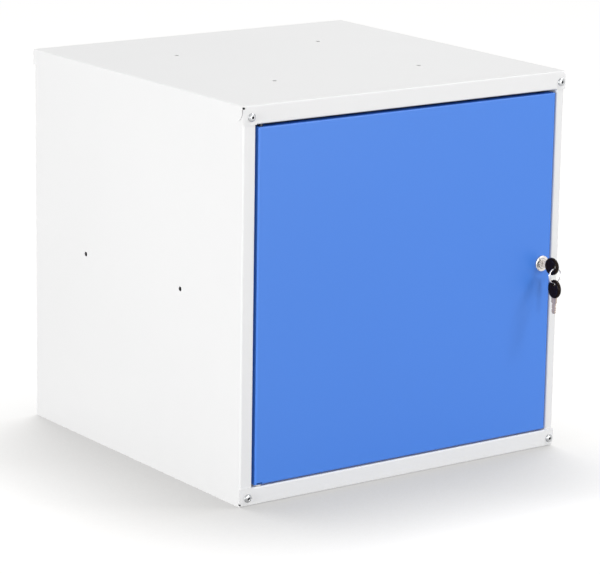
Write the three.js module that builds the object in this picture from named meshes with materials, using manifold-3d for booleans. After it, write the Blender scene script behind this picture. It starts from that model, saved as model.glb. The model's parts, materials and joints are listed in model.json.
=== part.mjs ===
import * as THREE from 'three';
import { mergeVertices } from 'three/addons/utils/BufferGeometryUtils.js';
import Module from 'manifold-3d';

// Cube locker: a cabinet of folded steel sheet with one framed door on pin hinges and a cam lock.
// Millimetres. X runs to the right, Y to the back and Z up. The origin is the centre of the base.

const wasm = await Module();
wasm.setup();

// Cabinet
const width = 450;
const depth = 440;
const height = 450;
const sheet = 0.8;
const bendRadius = 2;
// Gap between two sheets that lap, and between a fastener and what it clamps
const seatGap = 0.3;

// Front frame: rails on the top and bottom panels, stiles on the side panels
const topRailHeight = 21.5;
const bottomRailHeight = 20.5;
const hingeStileWidth = 17.5;
const lockStileWidth = 12;
const returnDepth = 15;
const lapDepth = 18.5;
const lapCornerRadius = 12;
const lapFrontInset = 1.5;
const reliefRadius = 1.5;
const reliefInset = 2.7;
const rearFlangeWidth = 15;
const stopLipWidth = 6;
const stopLipEndGap = 10;

// Holes that join one locker to the next. The shifts move a pattern off the middle of its panel.
const roofHolePitchX = 204;
const roofHolePitchY = 200;
const roofHoleShiftX = -3;
const roofHoleShiftY = -6;
const sideHolePitch = 201;
const sideHoleShift = 3.5;
const sideHoleDrop = 1.5;
const joiningHoleRadius = 2.75;

// Door
const hingeGap = 3.5;
const lockGap = 2;
const topGap = 3.5;
const footGap = 1.7;
const doorDepth = 14;
const doorLipWidth = 8;
const doorStopGap = 1.1;
const pivotInset = 6;
const pivotSetback = 6.5;
const pivotNotchWidth = 8;
const pivotNotchHeight = 2.4;

// Stiffener inside the door
const stiffenerWebWidth = 40;
const stiffenerFlangeWidth = 14;
const stiffenerDepth = 9.8;

// Hinge pins and the bush that carries the door on the bottom rail
const pinRadius = 2.5;
const pinHeadRadius = 4.5;
const pinHeadHeight = 2;
const pinReach = 7;
const bushRadius = 5.2;

// Corner screws and nuts
const hingeScrewInset = 11;
const screwDropTop = 13;
const screwRiseBottom = 9.5;
const screwRadius = 2.5;
const screwHeadRadius = 4.8;
const screwHeadHeight = 2.7;
const screwHeadRim = 0.5;
const screwLength = 10;
const socketWidth = 3;
const socketDepth = 1.5;
const nutWidth = 8;
const nutHeight = 4;

// Rivets of the back panel
const rivetsPerSide = 3;
const rivetInset = 9;
const rivetRadius = 1.6;
const rivetHeadRadius = 3.4;
const rivetHeadHeight = 0.7;
const rivetTailRadius = 2.4;
const rivetTailLength = 3;

// Lock
const lockInset = 13;
const lockHeadRadius = 9.3;
const lockHeadHeight = 2;
const lockHeadChamfer = 0.6;
const barrelRadius = 8;
const barrelFlatWidth = 14;
const plugRadius = 5.5;
const plugProud = 0.3;
const plugSquareWidth = 7;
const stubRadius = 3;
const stubTail = 0.8;
const lockNutWidth = 20;
const lockNutHeight = 4;
const stopWasherRadius = 6;
const stopWasherHeight = 1;
const stopTabReach = 1.8;
const stopTabWidth = 3;
const lockTurn = Math.PI / 2;
const camClearance = 0.5;
const camThickness = 2;
const camReach = 22;
const camHubRadius = 7.5;
const camTipRadius = 4.5;
const camWasherRadius = 5;
const camWasherHeight = 1;
const camNutWidth = 10;
const camNutHeight = 3.5;

// Keys
const bladeThickness = 1.8;
const bladeWidth = 6;
const bladeLength = 13;
const bladeTipLength = 2;
const neckWidth = 8;
const neckLength = 5.5;
const tangLength = 9;
const headLength = 21.8;
const headWidth = 20.3;
const headThickness = 4.6;
const headBevel = 0.8;
const ringHoleRadius = 2.4;
const ringHoleInset = 5;
const keywayExtraDepth = 1;
const cutDepth = 1.5;
const topCutShares = [0.9, 0.35, 0.75, 0.2];
const footCutShares = [0.3, 0.85, 0.4, 0.7];

// Key ring
const ringRadius = 8.7;
const ringWireRadius = 0.5;
const ringTurnOffset = 0.45;

// How far a cutter runs past what it cuts
const overrun = 1;

// Steps in a quarter bend, and sides of round pieces
const bendSteps = 4;
const holeSides = 20;
const turnedSides = 24;
const smallSides = 16;
const rivetSides = 12;
const ringWireSteps = 6;

// Places that follow from the sizes above
const right = width / 2;
const front = -depth / 2;
const rear = depth / 2;
const lap = sheet + seatGap;
const sideOuter = right - lap;
const sideInner = sideOuter - sheet;
const stileFace = front + lap;
const rearFlangeFace = rear - lap;
const backFace = rearFlangeFace - lap;
const bendClear = bendRadius + seatGap;
const openingLeft = -right + hingeStileWidth;
const openingRight = right - lockStileWidth;
const openingFoot = bottomRailHeight;
const openingTop = height - topRailHeight;
const doorLeft = openingLeft + hingeGap;
const doorRight = openingRight - lockGap;
const doorMiddle = (doorLeft + doorRight) / 2;
const doorFoot = openingFoot + footGap;
const doorTop = openingTop - topGap;
const doorBack = front + doorDepth;
const stopFace = doorBack + doorStopGap;
const pivotX = doorLeft + pivotInset;
const pivotY = front + pivotSetback;
const lockX = doorRight - lockInset;
const lockZ = height / 2;
const lockHeadBack = front - seatGap;
const lockFace = lockHeadBack - lockHeadHeight;
const plugFace = lockFace - plugProud;
const camFront = stopFace + sheet + camClearance;
const stopWasherFront = camFront - seatGap - stopWasherHeight;
const barrelEnd = stopWasherFront - seatGap;
const camBack = camFront + camThickness;
const camWasherFront = camBack + seatGap;
const camNutFront = camWasherFront + camWasherHeight + seatGap;
const stubEnd = camNutFront + camNutHeight + stubTail;
// The screws on the lock side stand in the middle of the narrow stile
const screwPlaces = [-right + hingeScrewInset, (openingRight + sideOuter) / 2];
// From the neck's front edge back to the centre of the ring hole
const ringHoleBack = neckLength + headLength - ringHoleInset;
// How far the ring hangs below the centre of the hole, where its curve rests on the hole's edge
const ringSag = ringRadius - Math.sqrt(ringRadius ** 2 - (headThickness / 2) ** 2);
const ringHoleReach = Math.sqrt((ringHoleRadius - seatGap) ** 2 - ringTurnOffset ** 2);
const ringDrop = ringHoleReach - ringWireRadius - ringSag;

const spanX = 'x';
const spanY = 'y';
const spanZ = 'z';

const X = new THREE.Vector3(1, 0, 0);
const Y = new THREE.Vector3(0, 1, 0);
const Z = new THREE.Vector3(0, 0, 1);

// Turns a closed geometry into a solid that can be joined and cut.
function solidOf(geometry) {
  const bare = geometry.clone();
  bare.deleteAttribute('normal');
  bare.deleteAttribute('uv');
  const merged = mergeVertices(bare);
  const vertProperties = new Float32Array(merged.attributes.position.array);
  const triVerts = new Uint32Array(merged.index.array);
  return new wasm.Manifold(new wasm.Mesh({ numProp: 3, vertProperties, triVerts }));
}

// Turns a finished solid back into a geometry.
function geometryOf(solid) {
  const mesh = solid.getMesh();
  const geometry = new THREE.BufferGeometry();
  geometry.setAttribute('position', new THREE.BufferAttribute(mesh.vertProperties, 3));
  geometry.setIndex(new THREE.BufferAttribute(mesh.triVerts, 1));
  return geometry;
}

// Extrudes an outline between two places on one axis. The outline's own two directions are
// X and Y for a span along Z, Y and Z for a span along X, and X and Z for a span along Y.
function extrude(outline, axis, from, to) {
  const shape = outline instanceof THREE.Shape ? outline : new THREE.Shape(outline);
  const geometry = new THREE.ExtrudeGeometry(shape, { depth: to - from, bevelEnabled: false });
  const place = new THREE.Matrix4();
  if (axis === spanX) {
    place.makeBasis(Y, Z, X).setPosition(from, 0, 0);
  } else if (axis === spanY) {
    place.makeBasis(X, Z, Y.clone().negate()).setPosition(0, to, 0);
  } else {
    place.setPosition(0, 0, from);
  }
  geometry.applyMatrix4(place);
  return geometry;
}

function extrudedSolid(outline, axis, from, to) {
  return solidOf(extrude(outline, axis, from, to));
}

function boxSolid(x0, x1, y0, y1, z0, z1) {
  const geometry = new THREE.BoxGeometry(x1 - x0, y1 - y0, z1 - z0);
  geometry.translate((x0 + x1) / 2, (y0 + y1) / 2, (z0 + z1) / 2);
  return solidOf(geometry);
}

// Points of a circle.
function circle(u, v, radius, sides) {
  const points = [];
  for (let i = 0; i < sides; i += 1) {
    const angle = (2 * Math.PI * i) / sides;
    points.push(new THREE.Vector2(u + radius * Math.cos(angle), v + radius * Math.sin(angle)));
  }
  return points;
}

// Points of a hexagon across whose flats the width is measured. Two of its flats face along u.
function hexagon(u, v, flatWidth) {
  const centre = new THREE.Vector2(u, v);
  const corners = circle(u, v, flatWidth / 2 / Math.cos(Math.PI / 6), 6);
  return corners.map((corner) => corner.rotateAround(centre, Math.PI / 6));
}

function rectangle(u0, u1, v0, v1) {
  return [
    new THREE.Vector2(u0, v0),
    new THREE.Vector2(u1, v0),
    new THREE.Vector2(u1, v1),
    new THREE.Vector2(u0, v1),
  ];
}

// Points of the arc that rounds the corner at one vertex, or the vertex itself when radius is zero.
function roundedCorner(before, corner, after, radius, steps) {
  const inward = corner.clone().sub(before).normalize();
  const onward = after.clone().sub(corner).normalize();
  const turn = Math.atan2(inward.cross(onward), inward.dot(onward));
  if (radius <= 0 || turn === 0) {
    return [corner.clone()];
  }
  const side = Math.sign(turn);
  const tangent = radius * Math.tan(Math.abs(turn) / 2);
  const start = corner.clone().addScaledVector(inward, -tangent);
  const toCentre = new THREE.Vector2(-inward.y, inward.x).multiplyScalar(side * radius);
  const centre = start.clone().add(toCentre);
  const points = [];
  for (let i = 0; i <= steps; i += 1) {
    points.push(start.clone().rotateAround(centre, (turn * i) / steps));
  }
  return points;
}

// A closed outline whose corners are rounded by the radii given for them.
function roundedOutline(corners, radii, steps) {
  const count = corners.length;
  return corners.flatMap((corner, i) =>
    roundedCorner(corners[(i + count - 1) % count], corner, corners[(i + 1) % count], radii[i], steps));
}

// An open path whose bends are rounded. The radius of a bend depends on the side it turns to.
function roundedPath(path, leftRadius, rightRadius) {
  const last = path.length - 1;
  return path.flatMap((corner, i) => {
    if (i === 0 || i === last) {
      return [corner.clone()];
    }
    const inward = corner.clone().sub(path[i - 1]);
    const onward = path[i + 1].clone().sub(corner);
    const radius = inward.cross(onward) > 0 ? leftRadius : rightRadius;
    return roundedCorner(path[i - 1], corner, path[i + 1], radius, bendSteps);
  });
}

// The path moved to its left by a distance, with mitred corners.
function offsetPath(path, distance) {
  const normals = path.slice(1).map((point, i) => {
    const along = point.clone().sub(path[i]).normalize();
    return new THREE.Vector2(-along.y, along.x);
  });
  return path.map((point, i) => {
    const before = normals[Math.max(i - 1, 0)];
    const after = normals[Math.min(i, normals.length - 1)];
    const mitre = before.clone().add(after);
    return point.clone().addScaledVector(mitre, distance / (1 + before.dot(after)));
  });
}

// Section of a folded sheet. One face follows the path and the metal lies to its left.
function foldedSection(path, thickness) {
  const innerRadius = bendRadius - thickness;
  const face = roundedPath(path, bendRadius, innerRadius);
  const otherFace = roundedPath(offsetPath(path, thickness), innerRadius, bendRadius);
  return [...face, ...otherFace.reverse()];
}

function points(pairs) {
  return pairs.map(([u, v]) => new THREE.Vector2(u, v));
}

// A turned piece about an axis through the origin, from pairs of radius and place along it.
function turned(profile, axis, sides) {
  const geometry = new THREE.LatheGeometry(points(profile), sides);
  if (axis === spanZ) {
    geometry.rotateX(Math.PI / 2);
  }
  return geometry;
}

// Holes of the pattern that joins two stacked lockers, drilled along Z.
function drillJoiningHoles(solid, z0, z1) {
  let drilled = solid;
  for (const across of [-1, 1]) {
    for (const along of [-1, 1]) {
      const x = roofHoleShiftX + (across * roofHolePitchX) / 2;
      const y = roofHoleShiftY + (along * roofHolePitchY) / 2;
      const hole = extrudedSolid(circle(x, y, joiningHoleRadius, holeSides), spanZ, z0, z1);
      drilled = drilled.subtract(hole);
    }
  }
  return drilled;
}

// A tray folded up on four sides from a flat sheet, with its flat at face and its edge at rim.
function tray(halfWidth, face, rim) {
  const into = Math.sign(rim - face);
  const innerFace = face + into * sheet;
  const innerRim = rim + into * overrun;
  const innerRadius = bendRadius - sheet;
  const radii = [0, 0, bendRadius, bendRadius];
  const innerRadii = [0, 0, innerRadius, innerRadius];
  const innerHalf = halfWidth - sheet;
  const fromSide = roundedOutline(rectangle(front, rear, rim, face), radii, bendSteps);
  const fromFront = roundedOutline(rectangle(-halfWidth, halfWidth, rim, face), radii, bendSteps);
  const hollowSide = roundedOutline(
    rectangle(front + sheet, rear - sheet, innerRim, innerFace), innerRadii, bendSteps);
  const hollowFront = roundedOutline(
    rectangle(-innerHalf, innerHalf, innerRim, innerFace), innerRadii, bendSteps);
  const outside = extrudedSolid(fromSide, spanX, -halfWidth, halfWidth)
    .intersect(extrudedSolid(fromFront, spanY, front, rear));
  const inside = extrudedSolid(hollowSide, spanX, -innerHalf, innerHalf)
    .intersect(extrudedSolid(hollowFront, spanY, front + sheet, rear - sheet));
  return outside.subtract(inside);
}

// A rail's lower or upper edge, folded back into the cabinet between the two stiles.
function railReturn(edge, into) {
  const path = points([
    [front, edge + into * (bendRadius + overrun)],
    [front, edge],
    [front + returnDepth, edge],
  ]);
  const section = foldedSection(into > 0 ? path : path.reverse(), sheet);
  return extrudedSolid(section, spanX, openingLeft + seatGap, openingRight - seatGap);
}

// Takes the square edge off a rail where its fold begins, so that the fold can take its place.
function railEdgeCutter(edge, into) {
  const low = Math.min(edge - into * overrun, edge + into * bendRadius);
  const high = Math.max(edge - into * overrun, edge + into * bendRadius);
  return boxSolid(
    openingLeft + seatGap, openingRight - seatGap, front - overrun, front + sheet + overrun, low, high);
}

// Round relief where the folds of a panel meet at a front corner, drilled in from the corner.
function cornerRelief(side, z) {
  const reach = 2 * returnDepth;
  const geometry = new THREE.CylinderGeometry(reliefRadius, reliefRadius, reach, smallSides);
  geometry.rotateZ((side * Math.PI) / 4);
  geometry.translate(side * right, front, z);
  return solidOf(geometry);
}

// Cuts a top lap to its depth and rounds its lower front corner.
function lapCutter(side) {
  const edge = height - lapDepth;
  const start = front + sheet + lapFrontInset;
  const outline = roundedOutline(points([
    [front + sheet, edge - lapDepth],
    [rear + overrun, edge - lapDepth],
    [rear + overrun, edge],
    [start, edge],
    [start, height - reliefInset],
    [front + sheet, height - reliefInset],
  ]), [0, 0, 0, lapCornerRadius, 0, 0], 2 * bendSteps);
  const inner = right - lap;
  return side > 0
    ? extrudedSolid(outline, spanX, inner, right + overrun)
    : extrudedSolid(outline, spanX, -right - overrun, -inner);
}

// Clearance holes for the corner screws at one height, through the front and the rear.
function drillScrewHoles(solid, z) {
  const radius = screwRadius + seatGap;
  let drilled = solid;
  for (const x of screwPlaces) {
    const outline = circle(x, z, radius, smallSides);
    drilled = drilled.subtract(extrudedSolid(outline, spanY, front - overrun, front + returnDepth / 2));
    drilled = drilled.subtract(extrudedSolid(outline, spanY, rear - returnDepth / 2, rear + overrun));
  }
  return drilled;
}

function hingeHole(z) {
  const outline = circle(pivotX, pivotY, pinRadius + seatGap, smallSides);
  return extrudedSolid(outline, spanZ, z - 2 * sheet, z + 2 * sheet);
}

function topPanel() {
  let solid = tray(right, height, openingTop);
  solid = solid.subtract(railEdgeCutter(openingTop, 1)).add(railReturn(openingTop, 1));
  solid = solid.subtract(boxSolid(
    -right - overrun, right + overrun, front + returnDepth + overrun, rear + overrun,
    openingTop - overrun, height - lapDepth));
  for (const side of [-1, 1]) {
    solid = solid.subtract(lapCutter(side)).subtract(cornerRelief(side, height - reliefInset));
  }
  solid = drillJoiningHoles(solid, height - sheet - overrun, height + overrun);
  solid = drillScrewHoles(solid, height - screwDropTop);
  return solid.subtract(hingeHole(openingTop));
}

function bottomPanel() {
  const half = sideInner - seatGap;
  let solid = tray(half, 0, openingFoot);
  const ear = boxSolid(-right, right, front, front + sheet, reliefInset, openingFoot);
  solid = solid.add(ear);
  solid = solid.subtract(railEdgeCutter(openingFoot, -1)).add(railReturn(openingFoot, -1));
  solid = solid.subtract(boxSolid(
    -half - overrun, half + overrun, front + returnDepth + overrun, rear + overrun,
    lapDepth, openingFoot + overrun));
  for (const side of [-1, 1]) {
    const inner = side * (half - bendRadius);
    const outer = side * (half + overrun / 2);
    const low = Math.min(inner, outer);
    const high = Math.max(inner, outer);
    // The side flanges stop short of the corner nuts
    const frontEnd = front + 2 * lap + nutHeight + seatGap;
    const rearEnd = rear - 3 * lap - nutHeight - seatGap;
    const above = openingFoot + overrun;
    solid = solid.subtract(boxSolid(low, high, front + sheet, frontEnd, bendRadius, above));
    solid = solid.subtract(boxSolid(low, high, rearEnd, rear - sheet, bendRadius, above));
    solid = solid.subtract(cornerRelief(side, reliefInset));
  }
  solid = drillJoiningHoles(solid, -overrun, sheet + overrun);
  solid = drillScrewHoles(solid, screwRiseBottom);
  return solid.subtract(hingeHole(openingFoot));
}

// Section of a side panel, drawn for the left side: rear flange, side, stile and its return.
function sideSection(stileWidth, withStopLip) {
  const edge = -right + stileWidth;
  const path = [
    [-sideOuter + rearFlangeWidth, rearFlangeFace],
    [-sideOuter, rearFlangeFace],
    [-sideOuter, stileFace],
    [edge, stileFace],
  ];
  if (withStopLip) {
    path.push([edge, stopFace], [edge + stopLipWidth, stopFace]);
  } else {
    path.push([edge, front + returnDepth]);
  }
  return foldedSection(points(path), sheet);
}

function sidePanel(side, stileWidth, withStopLip) {
  const top = height - bendClear;
  let solid = extrudedSolid(sideSection(stileWidth, withStopLip), spanZ, 0, top);
  // Clears the floor and the folds of the bottom panel inside the side
  solid = solid.subtract(boxSolid(
    -sideInner, 0, front - overrun, rear + overrun, -overrun, bendClear));
  if (withStopLip) {
    // Ends the stop lip short of both rails
    const lipStart = front + returnDepth - bendClear;
    const lowEnd = openingFoot + stopLipEndGap;
    const highEnd = openingTop - stopLipEndGap;
    const edge = -right + stileWidth;
    solid = solid.subtract(boxSolid(edge, 0, lipStart, 0, -overrun, lowEnd));
    solid = solid.subtract(boxSolid(edge, 0, lipStart, 0, highEnd, height));
  }
  for (const along of [-1, 1]) {
    const y = sideHoleShift + (along * sideHolePitch) / 2;
    const outline = circle(y, height / 2 - sideHoleDrop, joiningHoleRadius, holeSides);
    solid = solid.subtract(extrudedSolid(outline, spanX, -right, -sideInner + overrun));
  }
  for (const z of rivetHeights()) {
    const outline = circle(-sideOuter + rivetInset, z, rivetRadius + seatGap, smallSides);
    solid = solid.subtract(extrudedSolid(outline, spanY, rear - returnDepth, rear));
  }
  solid = side > 0 ? solid.mirror([1, 0, 0]) : solid;
  for (const z of [screwRiseBottom, height - screwDropTop]) {
    solid = drillScrewHoles(solid, z);
  }
  // The relief holes of the top and bottom panels run on through the side
  for (const z of [reliefInset, height - reliefInset]) {
    solid = solid.subtract(cornerRelief(side, z));
  }
  return solid;
}

function rivetHeights() {
  const heights = [];
  for (let i = 1; i <= rivetsPerSide; i += 1) {
    heights.push((height * i) / (rivetsPerSide + 1));
  }
  return heights;
}

function backPanel() {
  const half = sideOuter - bendClear;
  let solid = boxSolid(-half, half, backFace - sheet, backFace, bendClear, height - bendClear);
  for (const z of [screwRiseBottom, height - screwDropTop]) {
    solid = drillScrewHoles(solid, z);
  }
  for (const z of rivetHeights()) {
    for (const x of [-sideOuter + rivetInset, sideOuter - rivetInset]) {
      const outline = circle(x, z, rivetRadius + seatGap, smallSides);
      solid = solid.subtract(extrudedSolid(outline, spanY, rear - returnDepth, rear));
    }
  }
  return solid;
}

// Round bore with two flats, centred on the Y axis. The flats keep the lock from turning.
function flattedBore(radius, flatWidth, from, to) {
  const half = flatWidth / 2;
  const flats = boxSolid(-half, half, from - overrun, to + overrun, -radius, radius);
  return extrudedSolid(circle(0, 0, radius, turnedSides), spanY, from, to).intersect(flats);
}

// Nut that clamps the lock to the door, with a bore that clears the barrel.
function lockNut(from, to) {
  const bore = extrudedSolid(
    circle(0, 0, barrelRadius + seatGap, turnedSides), spanY, from - overrun, to + overrun);
  return extrudedSolid(hexagon(0, 0, lockNutWidth), spanY, from, to).subtract(bore);
}

// Skin of the door: a shallow box with folded edges and a narrow lip round its open back.
function doorSkin() {
  const inner = bendRadius - sheet;
  const rounded = [bendRadius, bendRadius, bendRadius, bendRadius];
  const innerRounded = [inner, inner, inner, inner];
  const outerPlan = roundedOutline(rectangle(doorLeft, doorRight, front, doorBack), rounded, bendSteps);
  const outerSide = roundedOutline(rectangle(front, doorBack, doorFoot, doorTop), rounded, bendSteps);
  const innerPlan = roundedOutline(
    rectangle(doorLeft + sheet, doorRight - sheet, front + sheet, doorBack - sheet), innerRounded, bendSteps);
  const innerSide = roundedOutline(
    rectangle(front + sheet, doorBack - sheet, doorFoot + sheet, doorTop - sheet), innerRounded, bendSteps);
  const outside = extrudedSolid(outerPlan, spanZ, doorFoot, doorTop)
    .intersect(extrudedSolid(outerSide, spanX, doorLeft, doorRight));
  const inside = extrudedSolid(innerPlan, spanZ, doorFoot + sheet, doorTop - sheet)
    .intersect(extrudedSolid(innerSide, spanX, doorLeft + sheet, doorRight - sheet));
  let solid = outside.subtract(inside);
  solid = solid.subtract(boxSolid(
    doorLeft + doorLipWidth, doorRight - doorLipWidth, doorBack - 2 * sheet, doorBack + overrun,
    doorFoot + doorLipWidth, doorTop - doorLipWidth));
  const lockClear = circle(lockX, lockZ, barrelRadius + bendRadius, turnedSides);
  solid = solid.subtract(extrudedSolid(lockClear, spanY, doorBack - 2 * sheet, doorBack + overrun));
  const lockHole = flattedBore(
    barrelRadius + seatGap, barrelFlatWidth + 2 * seatGap, front - overrun, front + sheet + overrun);
  solid = solid.subtract(lockHole.translate([lockX, 0, lockZ]));
  solid = solid.subtract(hingeHole(doorFoot)).subtract(hingeHole(doorTop));
  // Small notch in the lower fold in front of the pivot
  return solid.subtract(boxSolid(
    pivotX - pivotNotchWidth / 2, pivotX + pivotNotchWidth / 2, front - overrun, front + bendRadius,
    doorFoot - overrun, doorFoot + pivotNotchHeight));
}

// Hat-shaped channel that stiffens the door, welded upright to the inside of its skin.
function doorStiffener() {
  const foot = front + lap;
  const web = stiffenerWebWidth / 2;
  const section = foldedSection(points([
    [-web - stiffenerFlangeWidth, foot],
    [-web, foot],
    [-web, foot + stiffenerDepth],
    [web, foot + stiffenerDepth],
    [web, foot],
    [web + stiffenerFlangeWidth, foot],
  ]), sheet);
  const channel = extrudedSolid(section, spanZ, doorFoot + bendClear, doorTop - bendClear);
  return channel.translate([doorMiddle, 0, 0]);
}

// Button-head screw with a hexagon socket. The head stands on the origin and faces down the Y axis.
function cornerScrew(grip) {
  const profile = [[0, -screwHeadHeight]];
  const domeSteps = bendSteps + 1;
  const domeHeight = screwHeadHeight - screwHeadRim;
  for (let i = 1; i <= domeSteps; i += 1) {
    const angle = (Math.PI / 2) * (i / domeSteps);
    profile.push([screwHeadRadius * Math.sin(angle), -screwHeadRim - domeHeight * Math.cos(angle)]);
  }
  profile.push([screwHeadRadius, 0], [screwRadius, 0], [screwRadius, grip], [0, grip]);
  const body = solidOf(turned(profile, spanY, smallSides));
  const socket = extrudedSolid(
    hexagon(0, 0, socketWidth), spanY, -screwHeadHeight - overrun, -screwHeadHeight + socketDepth);
  return body.subtract(socket);
}

// Plain nut or washer that lies between two places on the Y axis.
function ringPlate(outline, holeRadius, from, to) {
  const shape = new THREE.Shape(outline);
  shape.holes.push(new THREE.Path(circle(0, 0, holeRadius, smallSides)));
  return extrude(shape, spanY, from, to);
}

// Blind rivet. Its head stands on the origin and its tail runs up the Y axis.
function backRivet(grip) {
  const tailStart = grip + seatGap;
  return turned([
    [0, -rivetHeadHeight],
    [rivetHeadRadius / 2, -rivetHeadHeight],
    [rivetHeadRadius, -seatGap],
    [rivetHeadRadius, 0],
    [rivetRadius, 0],
    [rivetRadius, tailStart],
    [rivetTailRadius, tailStart + seatGap],
    [rivetTailRadius, tailStart + rivetTailLength - seatGap],
    [rivetRadius, tailStart + rivetTailLength],
    [0, tailStart + rivetTailLength],
  ], spanY, rivetSides);
}

// Headed hinge pin for a gap between a rail and the door. The head lies under the origin and the
// pin runs up the Z axis.
function hingePin(gap) {
  const length = seatGap + sheet + gap + sheet + pinReach;
  return turned([
    [0, -pinHeadHeight],
    [pinHeadRadius - seatGap, -pinHeadHeight],
    [pinHeadRadius, -pinHeadHeight + seatGap],
    [pinHeadRadius, 0],
    [pinRadius, 0],
    [pinRadius, length - seatGap],
    [pinRadius - seatGap, length],
    [0, length],
  ], spanZ, turnedSides);
}

// Bush round the lower hinge pin, between the bottom rail and the door.
function hingeBush() {
  const bore = pinRadius + seatGap;
  const thickness = footGap - 2 * seatGap;
  return turned([
    [bore, 0],
    [bushRadius, 0],
    [bushRadius, thickness],
    [bore, thickness],
    [bore, 0],
  ], spanZ, turnedSides);
}

// Rim behind the barrel that leaves the stop washer's tab a quarter turn to travel in.
function stopRim() {
  const inner = stopWasherRadius + seatGap;
  const back = stopWasherFront + stopWasherHeight;
  const rim = extrudedSolid(circle(0, 0, barrelRadius, turnedSides), spanY, barrelEnd - overrun, back);
  const hollow = extrudedSolid(
    circle(0, 0, inner, turnedSides), spanY, barrelEnd - 2 * overrun, back + overrun);
  const margin = Math.asin((stopTabWidth / 2 + seatGap) / inner);
  const reach = 2 * barrelRadius;
  const start = Math.PI / 2 - margin;
  const sweep = lockTurn + 2 * margin;
  const wedge = [new THREE.Vector2(0, 0)];
  for (let i = 0; i <= bendSteps; i += 1) {
    const angle = start + (sweep * i) / bendSteps;
    wedge.push(new THREE.Vector2(reach * Math.cos(angle), reach * Math.sin(angle)));
  }
  const way = extrudedSolid(wedge, spanY, barrelEnd, back + overrun);
  return rim.subtract(hollow).subtract(way);
}

// Fixed part of the lock: its round head, the flatted barrel and the stop rim, with a bore for the plug.
function lockHousing() {
  const bore = plugRadius + seatGap;
  const geometry = turned([
    [bore, lockFace],
    [lockHeadRadius - lockHeadChamfer, lockFace],
    [lockHeadRadius, lockFace + lockHeadChamfer],
    [lockHeadRadius, lockHeadBack],
    [barrelRadius, lockHeadBack],
    [barrelRadius, barrelEnd],
    [bore, barrelEnd],
    [bore, lockFace],
  ], spanY, turnedSides);
  let solid = solidOf(geometry).add(stopRim());
  const half = barrelFlatWidth / 2;
  const wide = barrelRadius + overrun;
  solid = solid.subtract(boxSolid(half, wide, lockHeadBack, camFront, -wide, wide));
  return solid.subtract(boxSolid(-wide, -half, lockHeadBack, camFront, -wide, wide));
}

// Plug of the lock with its keyway, the square that drives the cam and the threaded stub.
function lockPlug() {
  const round = solidOf(turned([
    [0, plugFace],
    [plugRadius - plugProud, plugFace],
    [plugRadius, plugFace + plugProud],
    [plugRadius, barrelEnd],
    [stubRadius, barrelEnd],
    [stubRadius, stubEnd],
    [0, stubEnd],
  ], spanY, turnedSides));
  const half = plugSquareWidth / 2;
  const square = boxSolid(-half, half, barrelEnd - overrun, camBack - seatGap, -half, half);
  const slot = bladeThickness / 2 + seatGap;
  const slotHeight = bladeWidth / 2 + seatGap;
  const slotEnd = plugFace + bladeLength + keywayExtraDepth;
  const keyway = boxSolid(-slot, slot, plugFace - overrun, slotEnd, -slotHeight, slotHeight);
  return round.add(square).subtract(keyway);
}

// Disc with a tab that limits the plug to a quarter turn.
function stopWasher() {
  const hole = plugSquareWidth / 2 + seatGap;
  const back = stopWasherFront + stopWasherHeight;
  const disc = extrudedSolid(circle(0, 0, stopWasherRadius, turnedSides), spanY, stopWasherFront, back);
  const tab = boxSolid(
    -stopTabWidth / 2, stopTabWidth / 2, stopWasherFront, back, 0, stopWasherRadius + stopTabReach);
  const square = boxSolid(-hole, hole, stopWasherFront - overrun, back + overrun, -hole, hole);
  return disc.add(tab).subtract(square);
}

// Cam: a round hub that tapers to a rounded tip. At rest it hangs down, clear of the stop lip.
function lockCam() {
  const tipCentre = -(camReach - camTipRadius);
  const lean = Math.asin((camHubRadius - camTipRadius) / -tipCentre);
  const shape = new THREE.Shape();
  shape.absarc(0, 0, camHubRadius, -lean, Math.PI + lean, false);
  shape.absarc(0, tipCentre, camTipRadius, Math.PI + lean, 2 * Math.PI - lean, false);
  const hole = plugSquareWidth / 2 + seatGap;
  shape.holes.push(new THREE.Path(rectangle(-hole, hole, -hole, hole)));
  return extrude(shape, spanY, camFront, camBack);
}

// Points of one toothed edge of a blade, from the neck towards the tip.
function cutEdge(shares, side) {
  const pitch = (bladeLength - bladeTipLength) / shares.length;
  const edge = side * (bladeWidth / 2);
  return shares.flatMap((share, i) => {
    const start = i * pitch;
    const floor = edge - side * cutDepth * share;
    return [
      [start + pitch / 4, edge],
      [start + pitch / 2, floor],
      [start + (pitch * 3) / 4, floor],
      [start + pitch, edge],
    ];
  });
}

// Blade of a key and the wider neck that runs on into the head. The neck's front edge, which
// stops against the plug, is at the origin. The tip runs up the Y axis and the head lies behind.
function keyBlade() {
  const neck = neckWidth / 2;
  const half = bladeWidth / 2;
  const outline = [
    ...cutEdge(topCutShares, 1),
    [bladeLength, half / 2],
    [bladeLength, -half / 2],
    ...cutEdge(footCutShares, -1).reverse(),
    [0, -half],
    [0, -neck],
    [-neckLength - tangLength, -neck],
    [-neckLength - tangLength, neck],
    [0, neck],
    [0, half],
  ];
  return extrude(points(outline), spanX, -bladeThickness / 2, bladeThickness / 2);
}

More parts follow.
